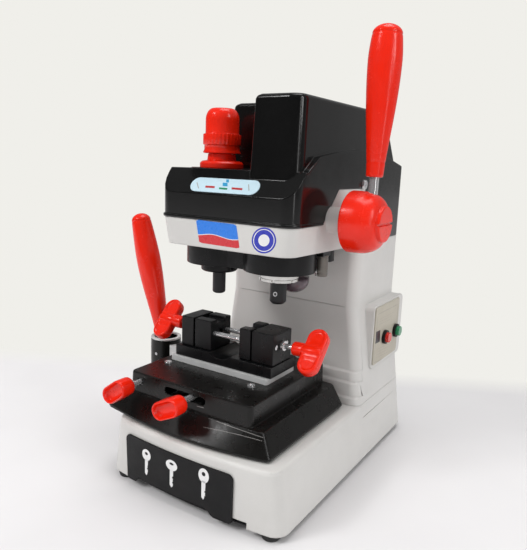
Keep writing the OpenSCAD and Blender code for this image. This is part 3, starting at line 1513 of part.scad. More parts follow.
module joystick_grip() {
    color("red") stick_frame() translate([0, 0, stick_grip_start])
        grip_shape(stick_grip_l, 12, stick_grip_d/2, 0.6, 0.8, stick_d/2, stick_grip_l - 60);
}

module stick_bracket() {
    color([0.25, 0.25, 0.25]) difference() {
        union() {
            box(flange_x, -half0, stick_y - pad_half, stick_y + pad_half, pad_z0, pad_z1);
            box(ball_x, -half0, stick_y - socket_r - 4, stick_y + socket_r + 4, bracket_z0, socket_top);
            zcyl(ball_x, stick_y, bracket_z0, socket_top, socket_r + 4);
        }
        zcyl(ball_x, stick_y, socket_floor, pad_z1 + 1, socket_r);
        for (h = bracket_holes) xcyl(flange_x - 1, -half0 + 1, h[0], h[1], 2.5 + hole_gap);
    }
}

base_casting();
bottom_plate();
rubber_feet();
machine_screws();
name_plate();
column_casting();
top_cover();
control_panel();
switch_plate();
button_bezels();
red_button();
green_button();
power_inlet();
shaft_bushings();
pinion_shaft();
lever_hub();
lever_rod();
lever_grip();
carriage_housing();
motor_plate();
head_guide_rods();
motor();
motor_pulley();
drive_belt();
spindle_shaft();
spindle_bearings();
stick_bracket();
retaining_ring();
chuck();
lamp_lens();
rack();
return_spring();
tracer_flange();
tracer_quill();
tracer_screw();
tracer_collar();
tracer_knob();
saddle_rods();
saddle();
saddle_lock();
table_rods();
table_plate();
table_cover();
table_screws();
table_lock();
riser_plate();
vise_base();
fixed_jaws();
jaw_rods();
left_jaw();
right_jaw();
left_clamp_screw();
right_clamp_screw();
left_clamp_knob();
right_clamp_knob();
joystick_sleeve();
joystick_arm();
joystick_gimbal();
joystick_rod();
joystick_grip();
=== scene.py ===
"""Key duplicating machine: finishes, fine pieces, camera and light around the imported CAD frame."""
import math
import bmesh
import bpy
from mathutils import Matrix, Vector
from mathutils.bvhtree import BVHTree


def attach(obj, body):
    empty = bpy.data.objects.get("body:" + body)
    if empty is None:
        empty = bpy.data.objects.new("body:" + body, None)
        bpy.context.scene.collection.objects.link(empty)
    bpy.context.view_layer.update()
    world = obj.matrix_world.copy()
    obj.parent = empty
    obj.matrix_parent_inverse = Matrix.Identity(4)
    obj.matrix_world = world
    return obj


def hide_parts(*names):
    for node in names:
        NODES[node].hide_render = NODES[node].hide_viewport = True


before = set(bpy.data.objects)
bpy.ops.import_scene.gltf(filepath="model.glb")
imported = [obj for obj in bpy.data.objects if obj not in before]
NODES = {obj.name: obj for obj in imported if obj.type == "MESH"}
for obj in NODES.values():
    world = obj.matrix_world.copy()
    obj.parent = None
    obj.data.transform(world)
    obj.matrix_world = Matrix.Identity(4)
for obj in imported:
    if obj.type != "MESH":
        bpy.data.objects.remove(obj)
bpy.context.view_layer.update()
scene = bpy.context.scene
MM = 0.001

# ---------------------------------------------------------------- camera
# Solved from the photo's straight edges: the eye in metres, the focal length and the picture in pixels
EYE = Vector((0.430, -0.717, 0.439))
YAW, PITCH, ROLL = math.radians(32.45), math.radians(11.08), math.radians(2.11)
FOCAL_PX = 569.3
WIDE_PX, TALL_PX = 527, 550
SENSOR_MM = 36
CLIP_NEAR, CLIP_FAR = 0.05, 30

fwd = Vector((-math.sin(YAW) * math.cos(PITCH), math.cos(YAW) * math.cos(PITCH), -math.sin(PITCH)))
side = Vector((math.cos(YAW), math.sin(YAW), 0))
over = side.cross(fwd)
cam_x = side * math.cos(ROLL) + over * math.sin(ROLL)
cam_y = over * math.cos(ROLL) - side * math.sin(ROLL)
turn = Matrix((cam_x, cam_y, -fwd)).transposed().to_4x4()
cam = bpy.data.objects.new("camera", bpy.data.cameras.new("camera"))
scene.collection.objects.link(cam)
cam.matrix_world = Matrix.Translation(EYE) @ turn
cam.data.sensor_width = SENSOR_MM
# The sensor's width lies along the picture's longer side, which is its height
cam.data.lens = FOCAL_PX * SENSOR_MM / TALL_PX
cam.data.clip_start = CLIP_NEAR
cam.data.clip_end = CLIP_FAR
scene.camera = cam
scene.view_settings.view_transform = "Standard"


# ---------------------------------------------------------------- node graphs
# Sockets of the Mix node when it mixes colours
MIX_A, MIX_B, MIX_RESULT = 6, 7, 2


class Graph:
    """A node tree that is filled by short calls."""

    def __init__(self, tree):
        self.tree = tree
        tree.nodes.clear()

    def add(self, kind, **values):
        node = self.tree.nodes.new("ShaderNode" + kind)
        for key, value in values.items():
            setattr(node, key, value)
        return node

    def link(self, a, b):
        self.tree.links.new(a, b)

    def feed(self, value, socket):
        """Links an output to a socket, or writes a colour or a number in it."""
        if isinstance(value, tuple):
            socket.default_value = (*value, 1)
        elif isinstance(value, (int, float)):
            socket.default_value = value
        else:
            self.link(value, socket)

    def remap(self, value, a, b, c, d, curve="LINEAR"):
        """Turns the range a to b into the range c to d."""
        node = self.add("MapRange", interpolation_type=curve)
        for i, v in enumerate((a, b, c, d)):
            node.inputs[i + 1].default_value = v
        self.link(value, node.inputs[0])
        return node.outputs[0]

    def math(self, op, a, b):
        node = self.add("Math", operation=op)
        self.feed(a, node.inputs[0])
        self.feed(b, node.inputs[1])
        return node.outputs[0]

    def blend(self, factor, a, b):
        """Shader a where the factor is 0, and b where it is 1."""
        node = self.add("MixShader")
        for i, value in enumerate((factor, a, b)):
            self.link(value, node.inputs[i])
        return node.outputs[0]


class Material(Graph):
    """A material, with its Principled shader and the surface detail that bends its normals."""

    def __init__(self, name):
        self.mat = bpy.data.materials.new(name)
        self.mat.use_nodes = True
        Graph.__init__(self, self.mat.node_tree)
        self.out = self.add("OutputMaterial")
        self.bsdf = self.add("BsdfPrincipled")
        self.link(self.bsdf.outputs[0], self.out.inputs[0])
        self.pos = self.add("TexCoord").outputs["Object"]
        self.normal = None

    def noise(self, scale, detail=3.0, rough=0.55, stretch=None):
        node = self.add("TexNoise")
        node.inputs["Scale"].default_value = scale
        node.inputs["Detail"].default_value = detail
        node.inputs["Roughness"].default_value = rough
        if stretch:
            scaled = self.add("Mapping")
            scaled.inputs["Scale"].default_value = stretch
            self.link(self.pos, scaled.inputs[0])
            self.link(scaled.outputs[0], node.inputs["Vector"])
        else:
            self.link(self.pos, node.inputs["Vector"])
        return node.outputs[0]

    def cells(self, scale):
        node = self.add("TexVoronoi")
        node.inputs["Scale"].default_value = scale
        self.link(self.pos, node.inputs["Vector"])
        return node.outputs["Distance"]

    def mix(self, factor, a, b):
        node = self.add("Mix", data_type="RGBA")
        self.feed(factor, node.inputs[0])
        self.feed(a, node.inputs[MIX_A])
        self.feed(b, node.inputs[MIX_B])
        return node.outputs[MIX_RESULT]

    def bump(self, height, strength, distance):
        node = self.add("Bump")
        node.inputs["Strength"].default_value = strength
        node.inputs["Distance"].default_value = distance
        self.link(height, node.inputs["Height"])
        if self.normal is not None:
            self.link(self.normal, node.inputs["Normal"])
        self.normal = node.outputs[0]

    def soften(self, radius):
        """Makes sharp edges look rounded by that radius."""
        bevel = self.add("Bevel", samples=6)
        bevel.inputs[0].default_value = radius
        self.normal = bevel.outputs[0]

    def edges(self, radius):
        """1 on convex edges, 0 on flat faces."""
        bevel = self.add("Bevel", samples=4)
        bevel.inputs[0].default_value = radius
        dot = self.add("VectorMath", operation="DOT_PRODUCT")
        self.link(bevel.outputs[0], dot.inputs[0])
        self.link(self.add("NewGeometry").outputs["Normal"], dot.inputs[1])
        return self.remap(dot.outputs["Value"], 0.995, 0.9, 0.0, 1.0)

    def done(self, colour, rough, **sockets):
        self.feed(colour, self.bsdf.inputs["Base Color"])
        self.feed(rough, self.bsdf.inputs["Roughness"])
        if self.normal is not None:
            self.link(self.normal, self.bsdf.inputs["Normal"])
        for key, value in sockets.items():
            self.bsdf.inputs[key.replace("_", " ")].default_value = value
        return self.mat


# ---------------------------------------------------------------- materials
def shade(colour, k):
    return tuple(min(1.0, v * k) for v in colour)


def stove_paint(name, colour, rough=0.42, grain=0.5, wear_and_glint=0.0, worn_to=(0.8, 0.8, 0.79), soft=0.0, shine=0.5):
    """Textured stove enamel: fine orange peel, faint cloudiness, edges rubbed to worn_to."""
    g = Material(name)
    if soft:
        g.soften(soft)
    cloud = g.noise(9, 4)
    fine = g.noise(700, 2)
    tone = g.mix(g.remap(cloud, 0.3, 0.7, 0, 1), shade(colour, 0.95), shade(colour, 1.035))
    tone = g.mix(g.remap(fine, 0.35, 0.75, 0, 0.10), tone, shade(colour, 0.82))
    if wear_and_glint:
        rub = g.math("MULTIPLY", g.edges(0.0009), g.remap(g.noise(120, 4), 0.45, 0.7, 0, wear_and_glint))
        tone = g.mix(rub, tone, worn_to)
    rough_map = g.remap(g.noise(60, 3), 0.3, 0.7, rough - 0.07, rough + 0.07)
    g.bump(g.noise(420, 2, 0.6), 0.16 * grain, 0.0006)
    g.bump(fine, 0.10 * grain, 0.0003)
    return g.done(tone, rough_map, Specular_IOR_Level=shine)


def moulded(name, colour, rough=0.22, coat=0.25, haze=0.5, peel=0.04, shine=0.5):
    """Glossy moulded plastic: faint flow marks, finger haze in the roughness and rubbed edges."""
    g = Material(name)
    flow = g.noise(16, 4, stretch=(1, 1, 0.35))
    tone = g.mix(g.remap(flow, 0.3, 0.7, 0, 1), shade(colour, 0.90), shade(colour, 1.07))
    edge = g.math("MULTIPLY", g.edges(0.0007), g.remap(g.noise(150, 3), 0.4, 0.7, 0.0, 0.22))
    tone = g.mix(edge, tone, tuple(0.6 * v + 0.28 for v in colour))
    smear = g.noise(38, 5, 0.65)
    rough_map = g.remap(smear, 0.35, 0.75, rough - 0.05, rough + 0.18 * haze)
    g.bump(g.noise(260, 2), peel, 0.0004)
    g.bump(g.noise(1500, 1), peel * 0.5, 0.0001)
    return g.done(tone, rough_map, Coat_Weight=coat, Coat_Roughness=0.08, Specular_IOR_Level=shine)


def turned(name, colour, rough=0.25, lines=2200, axis=2, metal=1.0, spread=0.08, strength=0.05):
    """Turned or ground metal: fine lines across the axis (0 X, 1 Y, 2 Z) and faint tarnish."""
    g = Material(name)
    stretch = [0.02, 0.02, 0.02]
    stretch[axis] = 1.0
    line = g.noise(lines, 2, stretch=tuple(stretch))
    tarnish = g.noise(45, 5, 0.6)
    tone = g.mix(g.remap(tarnish, 0.35, 0.7, 0, 1), colour, shade(colour, 0.86))
    tone = g.mix(g.remap(line, 0.45, 0.6, 0, 0.25), tone, shade(colour, 0.75))
    rough_map = g.math("ADD", g.remap(tarnish, 0.3, 0.7, rough - spread / 2, rough + spread),
                       g.remap(line, 0.4, 0.6, -0.02, 0.04))
    g.bump(line, strength, 0.0002)
    return g.done(tone, rough_map, Metallic=metal)


def print_paint(name, colour, rough=0.35):
    """Screen-printed ink or film: faint mesh grain and a light satin."""
    g = Material(name)
    grain = g.cells(1400)
    tone = g.mix(g.remap(grain, 0.1, 0.6, 0, 0.2), colour, shade(colour, 0.8))
    tone = g.mix(g.remap(g.noise(40, 3), 0.4, 0.7, 0, 0.3), tone, shade(colour, 0.92))
    rough_map = g.remap(g.noise(90, 3), 0.3, 0.7, rough - 0.06, rough + 0.06)
    g.bump(grain, 0.05, 0.0001)
    return g.done(tone, rough_map, Coat_Weight=0.15, Coat_Roughness=0.15)


CHROME = (0.82, 0.82, 0.83)
M = {
    "grey": stove_paint("grey_enamel", (0.61, 0.60, 0.58), 0.36, 0.8, 0.2, soft=0.003),
    "cover": moulded("black_gloss", (0.005, 0.005, 0.005), 0.17, 0.1, 0.4, 0.05, 0.35),
    "black": stove_paint("black_satin", (0.0045, 0.0045, 0.005), 0.32, 0.35, 0.35,
                         (0.16, 0.16, 0.16), 0, 0.25),
    "table": stove_paint("black_powder", (0.006, 0.0055, 0.005), 0.30, 0.45, 0.3, (0.20, 0.19, 0.18), 0, 0.3),
    "plate": stove_paint("black_plate", (0.005, 0.005, 0.0055), 0.45, 0.9, 0.2, (0.18, 0.18, 0.18), 0, 0.25),
    "red": moulded("red_gloss", (0.80, 0.016, 0.003), 0.24, 0.12, 0.5, 0.04, 0.35),
    "red_cap": moulded("red_cap", (0.60, 0.02, 0.012), 0.25, 0.4),
    "green_cap": moulded("green_cap", (0.01, 0.22, 0.09), 0.25, 0.4),
    "film": print_paint("pale_blue_film", (0.50, 0.66, 0.74), 0.32),
    "beige": stove_paint("beige_enamel", (0.46, 0.425, 0.35), 0.45, 0.4, 0.1),
    "rubber": stove_paint("black_rubber", (0.02, 0.02, 0.02), 0.8, 1.4),
    "chrome": turned("chrome", CHROME, 0.10, 1500, 0, 0.75, 0.04, 0.0),
    "chrome_z": turned("chrome_upright", CHROME, 0.10, 1500, 2, 0.75, 0.04, 0.0),
    "steel": turned("turned_steel", (0.60, 0.60, 0.61), 0.28, 2600, 2),
    "dark": turned("black_oxide", (0.012, 0.012, 0.013), 0.34, 2600, 2, 0.4),
    "alloy": turned("milled_alloy", (0.66, 0.665, 0.66), 0.42, 1400, 1, 0.25, 0.08, 0.08),
    "polished": turned("polished_steel", (0.66, 0.65, 0.63), 0.16, 1800, 2, 0.85, 0.05, 0.03),
    "sleeve": turned("bearing_sleeve", (0.20, 0.185, 0.165), 0.35, 2000, 2, 0.5),
    # Light grey of the beads on the table cover's lips and slot: a painted highlight where these edges catch
    # the light
    "wear_and_glint": stove_paint("painted_glint_lip", (0.30, 0.29, 0.28), 0.35, 0.4),
    "bronze": turned("sintered_bronze", (0.42, 0.27, 0.12), 0.45, 900, 0),
}


def lens_material():
    g = Material("smoked_lens")
    streak = g.noise(60, 3, stretch=(1, 1, 0.2))
    tone = g.mix(g.remap(streak, 0.3, 0.7, 0, 1), (0.10, 0.07, 0.085), (0.17, 0.125, 0.145))
    rough_map = g.remap(g.noise(90, 3), 0.3, 0.7, 0.08, 0.18)
    g.bump(g.noise(300, 2), 0.04, 0.0003)
    return g.done(tone, rough_map, Transmission_Weight=0.35, IOR=1.45, Coat_Weight=0.3, Coat_Roughness=0.05)


M["lens"] = lens_material()


# ---------------------------------------------------------------- CAD nodes
SHARP_DEG = 28
FLAT_DEG = 0.6
WELD_M = 1e-6
ROUND_SEGMENTS = 2
FACE_WEIGHT = 80


def dress(node, key, width):
    """Gives a CAD node its finish. Its sharp edges are rounded by width in mm, or stay sharp at 0."""
    o = NODES[node]
    me = o.data
    if "custom_normal" in me.attributes:
        me.attributes.remove(me.attributes["custom_normal"])
    me.shade_smooth()
    if not width:
        me.set_sharp_from_angle(angle=math.radians(SHARP_DEG))
    for i in range(len(me.materials)):
        me.materials[i] = M[key]
    if not me.materials:
        me.materials.append(M[key])
    weld = o.modifiers.new("weld", "WELD")
    weld.merge_threshold = WELD_M
    flat = o.modifiers.new("flat", "DECIMATE")
    flat.decimate_type = "DISSOLVE"
    flat.angle_limit = math.radians(FLAT_DEG)
    if width:
        bevel = o.modifiers.new("round", "BEVEL")
        bevel.width = width * MM
        bevel.segments = ROUND_SEGMENTS
        bevel.limit_method = "ANGLE"
        bevel.angle_limit = math.radians(SHARP_DEG)
        bevel.use_clamp_overlap = False
    even = o.modifiers.new("even", "WEIGHTED_NORMAL")
    even.mode = "FACE_AREA"
    even.weight = FACE_WEIGHT
    even.keep_sharp = not width


# Finish of each CAD node that is shown, with the rounding of its edges in mm
FINISH = {
    "grey": {"base_casting": 0.35, "column_casting": 0.35},
    "cover": {"top_cover": 1.2},
    "black": {"carriage_housing": 0.8, "vise_base": 1.0, "fixed_jaws": 1.3, "left_jaw": 1.3,
              "right_jaw": 1.3, "stick_bracket": 0.6, "tracer_flange": 0.6},
    "table": {"table_cover": 0.9, "joystick_sleeve": 0.8},
    "plate": {"name_plate": 0.6, "power_inlet": 0.4, "button_bezels": 0.5},
    "red": {"lever_hub": 0.7, "tracer_collar": 1.0},
    "red_cap": {"red_button": 0.6},
    "green_cap": {"green_button": 0.6},
    "film": {"control_panel": 0.3},
    "beige": {"switch_plate": 0.4},
    "rubber": {"rubber_feet": 0.6, "drive_belt": 0},
    "chrome": {"jaw_rods": 0.3, "left_clamp_screw": 0.3, "right_clamp_screw": 0.3,
               "saddle_rods": 0.4, "machine_screws": 0.3, "table_screws": 0.3},
    "chrome_z": {"lever_rod": 0.3, "head_guide_rods": 0.4, "joystick_rod": 0.3, "return_spring": 0},
    "steel": {"pinion_shaft": 0, "spindle_shaft": 0.3, "spindle_bearings": 0.3, "rack": 0,
              "tracer_screw": 0.3, "joystick_gimbal": 0.2, "motor_pulley": 0.3},
    "dark": {"tracer_quill": 1.2, "saddle": 0.5, "motor": 0.8, "motor_plate": 0.6, "bottom_plate": 0.4,
             "table_plate": 0.4, "table_rods": 0.4},
    "alloy": {"riser_plate": 0.4, "joystick_arm": 0.5},
    "bronze": {"shaft_bushings": 0.3},
    "lens": {"lamp_lens": 0},
}
for key, nodes in FINISH.items():
    for node, width in nodes.items():
        dress(node, key, width)


# ---------------------------------------------------------------- mesh helpers
def piece(name, bm, key, body, smooth=True, angle=35, replaces=(), place=None):
    """Makes an object of a bmesh, in material M[key], that rides on a body. It can replace CAD nodes."""
    me = bpy.data.meshes.new(name)
    if place is not None:
        bmesh.ops.transform(bm, matrix=place, verts=bm.verts)
    bmesh.ops.recalc_face_normals(bm, faces=bm.faces)
    bm.to_mesh(me)
    bm.free()
    if smooth:
        me.shade_smooth()
        me.set_sharp_from_angle(angle=math.radians(angle))
    o = bpy.data.objects.new(name, me)
    scene.collection.objects.link(o)
    me.materials.append(M[key])
    if replaces:
        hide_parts(*replaces)
    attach(o, body)


def band(bm, lo, hi):
    """Adds the faces between two closed rings of as many points."""
    n = len(lo)
    for k in range(n):
        bm.faces.new((lo[k], lo[(k + 1) % n], hi[(k + 1) % n], hi[k]))


def mm_points(points):
    return [(a * MM, b * MM) for a, b in points]


# A point nearer to the axis than this lies on it
ON_AXIS_M = 1e-9


def spun(bm, profile, steps, radius=None):
    """Adds a solid turned round Z from (r, z) points. radius(r, z, angle) can change each radius."""
    rings = []
    for r, z in profile:
        if r < ON_AXIS_M:
            rings.append([bm.verts.new((0, 0, z))])
            continue
        ring = []
        for k in range(steps):
            a = 2 * math.pi * k / steps
            q = radius(r, z, a) if radius else r
            ring.append(bm.verts.new((q * math.cos(a), q * math.sin(a), z)))
        rings.append(ring)
    for lo, hi in zip(rings, rings[1:]):
        if len(lo) == len(hi) == steps:
            band(bm, lo, hi)
            continue
        for k in range(steps):
            after = (k + 1) % steps
            if len(hi) == steps:
                bm.faces.new((lo[0], hi[k], hi[after]))
            elif len(lo) == steps:
                bm.faces.new((lo[k], lo[after], hi[0]))


def arc(cx, cy, r, a0, a1, n):
    """Points of an arc from a0 to a1 degrees, in n steps."""
    return [(cx + r * math.cos(math.radians(a0 + (a1 - a0) * i / n)),
             cy + r * math.sin(math.radians(a0 + (a1 - a0) * i / n))) for i in range(n + 1)]


def rounded(w, h, r, n=6):
    """Outline of a rectangle with round corners, about the origin."""
    x, y = w / 2 - r, h / 2 - r
    return (arc(x, y, r, 0, 90, n) + arc(-x, y, r, 90, 180, n)
            + arc(-x, -y, r, 180, 270, n) + arc(x, -y, r, 270, 360, n))


def slab(bm, outline, z0, z1, soft=0.0):
    """Adds a plate with that outline; soft rounds its upper edge."""
    n = len(outline)
    cx = sum(p[0] for p in outline) / n
    cy = sum(p[1] for p in outline) / n
    size = max(max(abs(p[0] - cx), abs(p[1] - cy)) for p in outline)
    levels = [(z0, 0.0), (z1 - soft, 0.0)]
    if soft:
        levels += [(z1 - soft * 0.3, soft * 0.3), (z1, soft)]
    rings = [[bm.verts.new((cx + (x - cx) * (1 - i / size), cy + (y - cy) * (1 - i / size), z))
              for x, y in outline] for z, i in levels]
    for lo, hi in zip(rings, rings[1:]):
        band(bm, lo, hi)
    bm.faces.new(list(reversed(rings[0])))
    bm.faces.new(rings[-1])


def frame_at(origin, x_axis, y_axis):
    """Matrix of a local frame: x and y along the given axes, z their cross product."""
    x = Vector(x_axis).normalized()
    z = x.cross(Vector(y_axis)).normalized()
    y = z.cross(x)
    m = Matrix((x, y, z)).transposed().to_4x4()
    m.translation = Vector(origin)
    return m


# ---------------------------------------------------------------- clamp knobs
WING_LENGTH, WING_WIDTH, WING_THICK = 66 * MM, 29 * MM, 15 * MM
WING_EDGE = 3.6 * MM
# Each lobe is dished inside a rim, from LOBE_START off the middle; the slopes down to the dish are
# RIM_SLOPE and LOBE_SLOPE wide
DISH_DEPTH, DISH_RIM, RIM_SLOPE = 1.8 * MM, 3.4 * MM, 2.6 * MM
LOBE_START, LOBE_SLOPE = 8.5 * MM, 3.5 * MM
# The wing's faces lie in rings, at these shares of the way from its middle line to its edge
WING_RINGS = (0.001, 0.12, 0.25, 0.38, 0.50, 0.60, 0.68, 0.74, 0.79, 0.83, 0.87, 0.905, 0.935, 0.96,
              0.98, 0.993, 1.0)
END_STEPS, SIDE_STEPS = 28, 12


def share(value, whole):
    """value / whole, held between 0 and 1."""
    return min(1.0, max(0.0, value / whole))


def wing(bm):
    """Adds a wing with two dished lobes: long along X, wide along Y, thick along Z."""
    r = WING_WIDTH / 2
    core = WING_LENGTH / 2 - r
    outline = arc(core, 0, r, -90, 90, END_STEPS) + arc(-core, 0, r, 90, 270, END_STEPS)
    line = []
    for i, (x, y) in enumerate(outline):
        nx, ny = outline[(i + 1) % len(outline)]
        line.append((x, y))
        if math.hypot(nx - x, ny - y) > r:
            line += [(x + (nx - x) * k / SIDE_STEPS, y + (ny - y) * k / SIDE_STEPS)
                     for k in range(1, SIDE_STEPS)]

    def height(x, y):
        inner = r - math.hypot(max(0.0, abs(x) - core), y)
        z = WING_THICK / 2
        if inner < WING_EDGE:
            z -= WING_EDGE - math.sqrt(max(0.0, WING_EDGE ** 2 - (WING_EDGE - inner) ** 2))
        t = share(inner - DISH_RIM, RIM_SLOPE) * share(abs(x) - LOBE_START, LOBE_SLOPE)
        return z - DISH_DEPTH * t * t * (3 - 2 * t)

    def spine(x, y, s):
        cx = max(-core, min(core, x))
        return cx + (x - cx) * s, y * s

    rims = []
    for sign in (1, -1):
        rings = []
        for s in WING_RINGS:
            ring = []
            for x, y in line:
                px, py = spine(x, y, s)
                ring.append(bm.verts.new((px, py, sign * height(px, py))))
            rings.append(ring)
        n = len(line)
        for lo, hi in zip(rings, rings[1:]):
            for k in range(n):
                corners = (lo[k], hi[k], hi[(k + 1) % n], lo[(k + 1) % n])
                bm.faces.new(corners if sign > 0 else tuple(reversed(corners)))
        rims.append(rings[-1])
    for k in range(n):
        bm.faces.new((rims[1][k], rims[1][(k + 1) % n], rims[0][(k + 1) % n], rims[0][k]))
    bmesh.ops.remove_doubles(bm, verts=bm.verts, dist=0.05 * MM)


AXIS_Y, ROD_Z = -75, 197
CLAMP_TURN = math.radians(42)
CLAMP_X = {"right_clamp": 104.6, "left_clamp": -149.0}
# Outline of the hub as (radius, place) along the wing's width, from its middle; + is towards the jaw
CLAMP_HUB = ((0, -13.4), (6.0, -13.4), (8.4, -12.6), (9.4, -11.0), (9.4, 12.5), (8.4, 14.7), (9.6, 15.6),
             (9.6, 27.5), (9.0, 29.4), (7.4, 30.4), (0, 30.4))
for name, wing_x in CLAMP_X.items():
    bm = bmesh.new()
    wing(bm)
    hub = bmesh.new()
    spun(hub, mm_points(CLAMP_HUB), 48)
    # the hub's axis is turned from Z to the wing's width direction, +Y
    bmesh.ops.transform(hub, matrix=Matrix.Rotation(-math.pi / 2, 4, "X"), verts=hub.verts)
    hub_mesh = bpy.data.meshes.new("hub")
    hub.to_mesh(hub_mesh)
    hub.free()
    bm.from_mesh(hub_mesh)
    bpy.data.meshes.remove(hub_mesh)
    inward = (-1, 0, 0) if wing_x > 0 else (1, 0, 0)
    piece(name + "_wing", bm, "red", name, angle=50, replaces=(name + "_knob",),
          place=frame_at((wing_x * MM, AXIS_Y * MM, ROD_Z * MM),
                         (0, math.sin(CLAMP_TURN), math.cos(CLAMP_TURN)), inward))


# ---------------------------------------------------------------- lock knobs
def slot_outline(length, width, n=14):
    """Outline of a slot shape, long along X."""
    r = width / 2
    return arc(length / 2 - r, 0, r, -90, 90, n) + arc(r - length / 2, 0, r, 90, 270, n)


def lofted(bm, levels):
    """Adds a solid through slot shapes given as (length, width, z)."""
    rings = [[bm.verts.new((x, y, z * MM)) for x, y in slot_outline(length * MM, width * MM)]
             for length, width, z in levels]
    n = len(rings[0])
    for lo, hi in zip(rings, rings[1:]):
        band(bm, lo, hi)
    bm.faces.new(list(reversed(rings[0])))
    bm.faces.new(rings[-1])
    bmesh.ops.remove_doubles(bm, verts=bm.verts, dist=0.02 * MM)


# A slot-shaped body with a finger recess in its front, on a short stem, in (length, width, height)
LOCK_LEVELS = ((15.2, 15.0, 0), (16.2, 16.0, 0.8), (16.4, 16.2, 3.5), (22, 18.5, 6.2), (34, 22, 8.8),
               (41, 23.4, 11.2), (43.6, 23.8, 14), (44, 24, 17), (44, 24, 30), (43.4, 23.4, 31.8),
               (42.2, 22.2, 32.8), (41, 21, 33), (39.6, 19.6, 32.7), (38.6, 18.6, 31.6),
               (36.5, 16.5, 28.6), (33, 12.5, 26.6), (26, 5.5, 25.8))
LOCK_BACK, LOCK_Z = -195, 136.5
LOCK_SCREW_R, LOCK_SCREW_END = 4.0, -109
LOCK_SCREW_LONG = LOCK_SCREW_END - LOCK_BACK
# Nut behind the knob, then the screw
LOCK_SCREW = ((0, -0.5), (6.2, -0.5), (6.6, 0), (6.6, 3.0), (6.2, 3.5), (LOCK_SCREW_R, 3.6),
              (LOCK_SCREW_R, LOCK_SCREW_LONG - 0.6), (3.4, LOCK_SCREW_LONG), (0, LOCK_SCREW_LONG))
for name, x, degrees in (("saddle_lock", -19, 25), ("table_lock", -109, 36)):
    lean = math.radians(degrees)
    knob_at = (x * MM, LOCK_BACK * MM, LOCK_Z * MM)
    bm = bmesh.new()
    lofted(bm, LOCK_LEVELS)
    piece(name + "_knob", bm, "red", name, angle=60, replaces=(name,),
          place=frame_at(knob_at, (math.cos(lean), 0, math.sin(lean)), (-math.sin(lean), 0, math.cos(lean))))
    bm = bmesh.new()
    spun(bm, mm_points(LOCK_SCREW), 40)
    piece(name + "_screw", bm, "chrome", name, place=frame_at(knob_at, (1, 0, 0), (0, 0, -1)))


# Sheet-metal end under the table cover, behind the slot of the lock
END_X, END_Y, END_Z = -118, (-170, -20), (92.5, 119)
END_THICK, END_CORNER, END_ROUND = 1.5, 3, 0.3
bm = bmesh.new()
slab(bm, rounded((END_Y[1] - END_Y[0]) * MM, (END_Z[1] - END_Z[0]) * MM, END_CORNER * MM),
     -END_THICK / 2 * MM, END_THICK / 2 * MM, END_ROUND * MM)
piece("table_end_plate", bm, "table", "table",
      place=frame_at((END_X * MM, sum(END_Y) / 2 * MM, sum(END_Z) / 2 * MM), (0, 1, 0), (0, 0, 1)))


# ---------------------------------------------------------------- hand grips
# All heights on a grip are shares of its length: where its outline starts, and where its round end does
NECK_FOOT, DOME_FOOT = 0.008, 0.935
GRIP_STEPS = 120


def grip_outline(length, neck, r, belly, end, grooves):
    """Half outline of a hand grip: swells from the neck to the belly, then narrows to a round end.

    neck and r are the radii in mm at the foot and the belly, end is the share of r that is left at the
    round end, and grooves are (height, width in mm, depth in mm).
    """
    points = [(0, 0), (neck - 1, 0)]
    for i in range(GRIP_STEPS + 1):
        t = NECK_FOOT + (DOME_FOOT - NECK_FOOT) * i / GRIP_STEPS
        if t < belly:
            q = neck + (r - neck) * math.sin(math.pi / 2 * t / belly) ** 1.4
        else:
            q = r - r * (1 - end) * ((t - belly) / (DOME_FOOT - belly)) ** 1.5
        for at, wide, deep in grooves:
            q -= deep * max(0.0, 1 - abs(t - at) * length / wide)
        points.append((q, t * length))
    for a in range(6, 91, 6):
        a = math.radians(a)
        points.append((r * end * math.cos(a), length * (DOME_FOOT + (1 - DOME_FOOT) * math.sin(a))))
    return mm_points(points)


# Each grip stands on its pivot's leaning rod, from GRIP_Z above the pivot
LEVER_AT, LEVER_LEAN, LEVER_GRIP_Z = (160 * MM, -50 * MM, 371 * MM), math.radians(3), 56.5 * MM
STICK_AT, STICK_LEAN, STICK_GRIP_Z = (-187.3 * MM, -39 * MM, 129 * MM), math.radians(14.7), 41 * MM
LEVER_GROOVES = ((DOME_FOOT, 1.6, 0.7), (0.79, 1.6, 0.18), (0.10, 2.0, 0.5))
STICK_GROOVES = ((DOME_FOOT, 1.6, 0.6),)
lever_m = frame_at(LEVER_AT, (1, 0, 0), (0, math.cos(LEVER_LEAN), -math.sin(LEVER_LEAN)))
stick_m = frame_at(STICK_AT, (math.cos(STICK_LEAN), 0, math.sin(STICK_LEAN)), (0, 1, 0))
for body, place, start, outline in (
        ("lever", lever_m, LEVER_GRIP_Z, grip_outline(178.9, 10.5, 20.45, 0.78, 0.88, LEVER_GROOVES)),
        ("joystick", stick_m, STICK_GRIP_Z, grip_outline(188.9, 12, 19.4, 0.6, 0.8, STICK_GROOVES))):
    bm = bmesh.new()
    spun(bm, outline, 112)
    piece(body + "_hand_grip", bm, "red", body, angle=60, replaces=(body + "_grip",),
          place=place @ Matrix.Translation((0, 0, start)))


# ---------------------------------------------------------------- tracer knob
TRACER_X = -53.3
RIB_COUNT, RIB_DEPTH, RIB_FROM, RIB_TO = 30, 0.55 * MM, 461.8 * MM, 475.4 * MM
KNOB_FOOT = [(0, 450.2), (25.0, 450.2), (25.8, 451.0), (25.8, 452.0), (24.2, 455.2), (24.2, 460.3),
             (24.8, 461.2), (25.4, 461.5), (26.0, 462.2), (26.0, 475.0), (25.4, 475.9), (24.4, 476.2),
             (23.4, 476.4), (23.0, 477.2), (23.0, 492.5)]
# The dome is a quarter of an ellipse outside a flat middle
DOME_MIDDLE_R, DOME_BASE_Z, DOME_WIDE, DOME_TALL = 12.5, 494.5, 10.5, 15.7
KNOB_TOP = [(9.5, 510.2), (9.0, 509.6), (0, 509.4)]


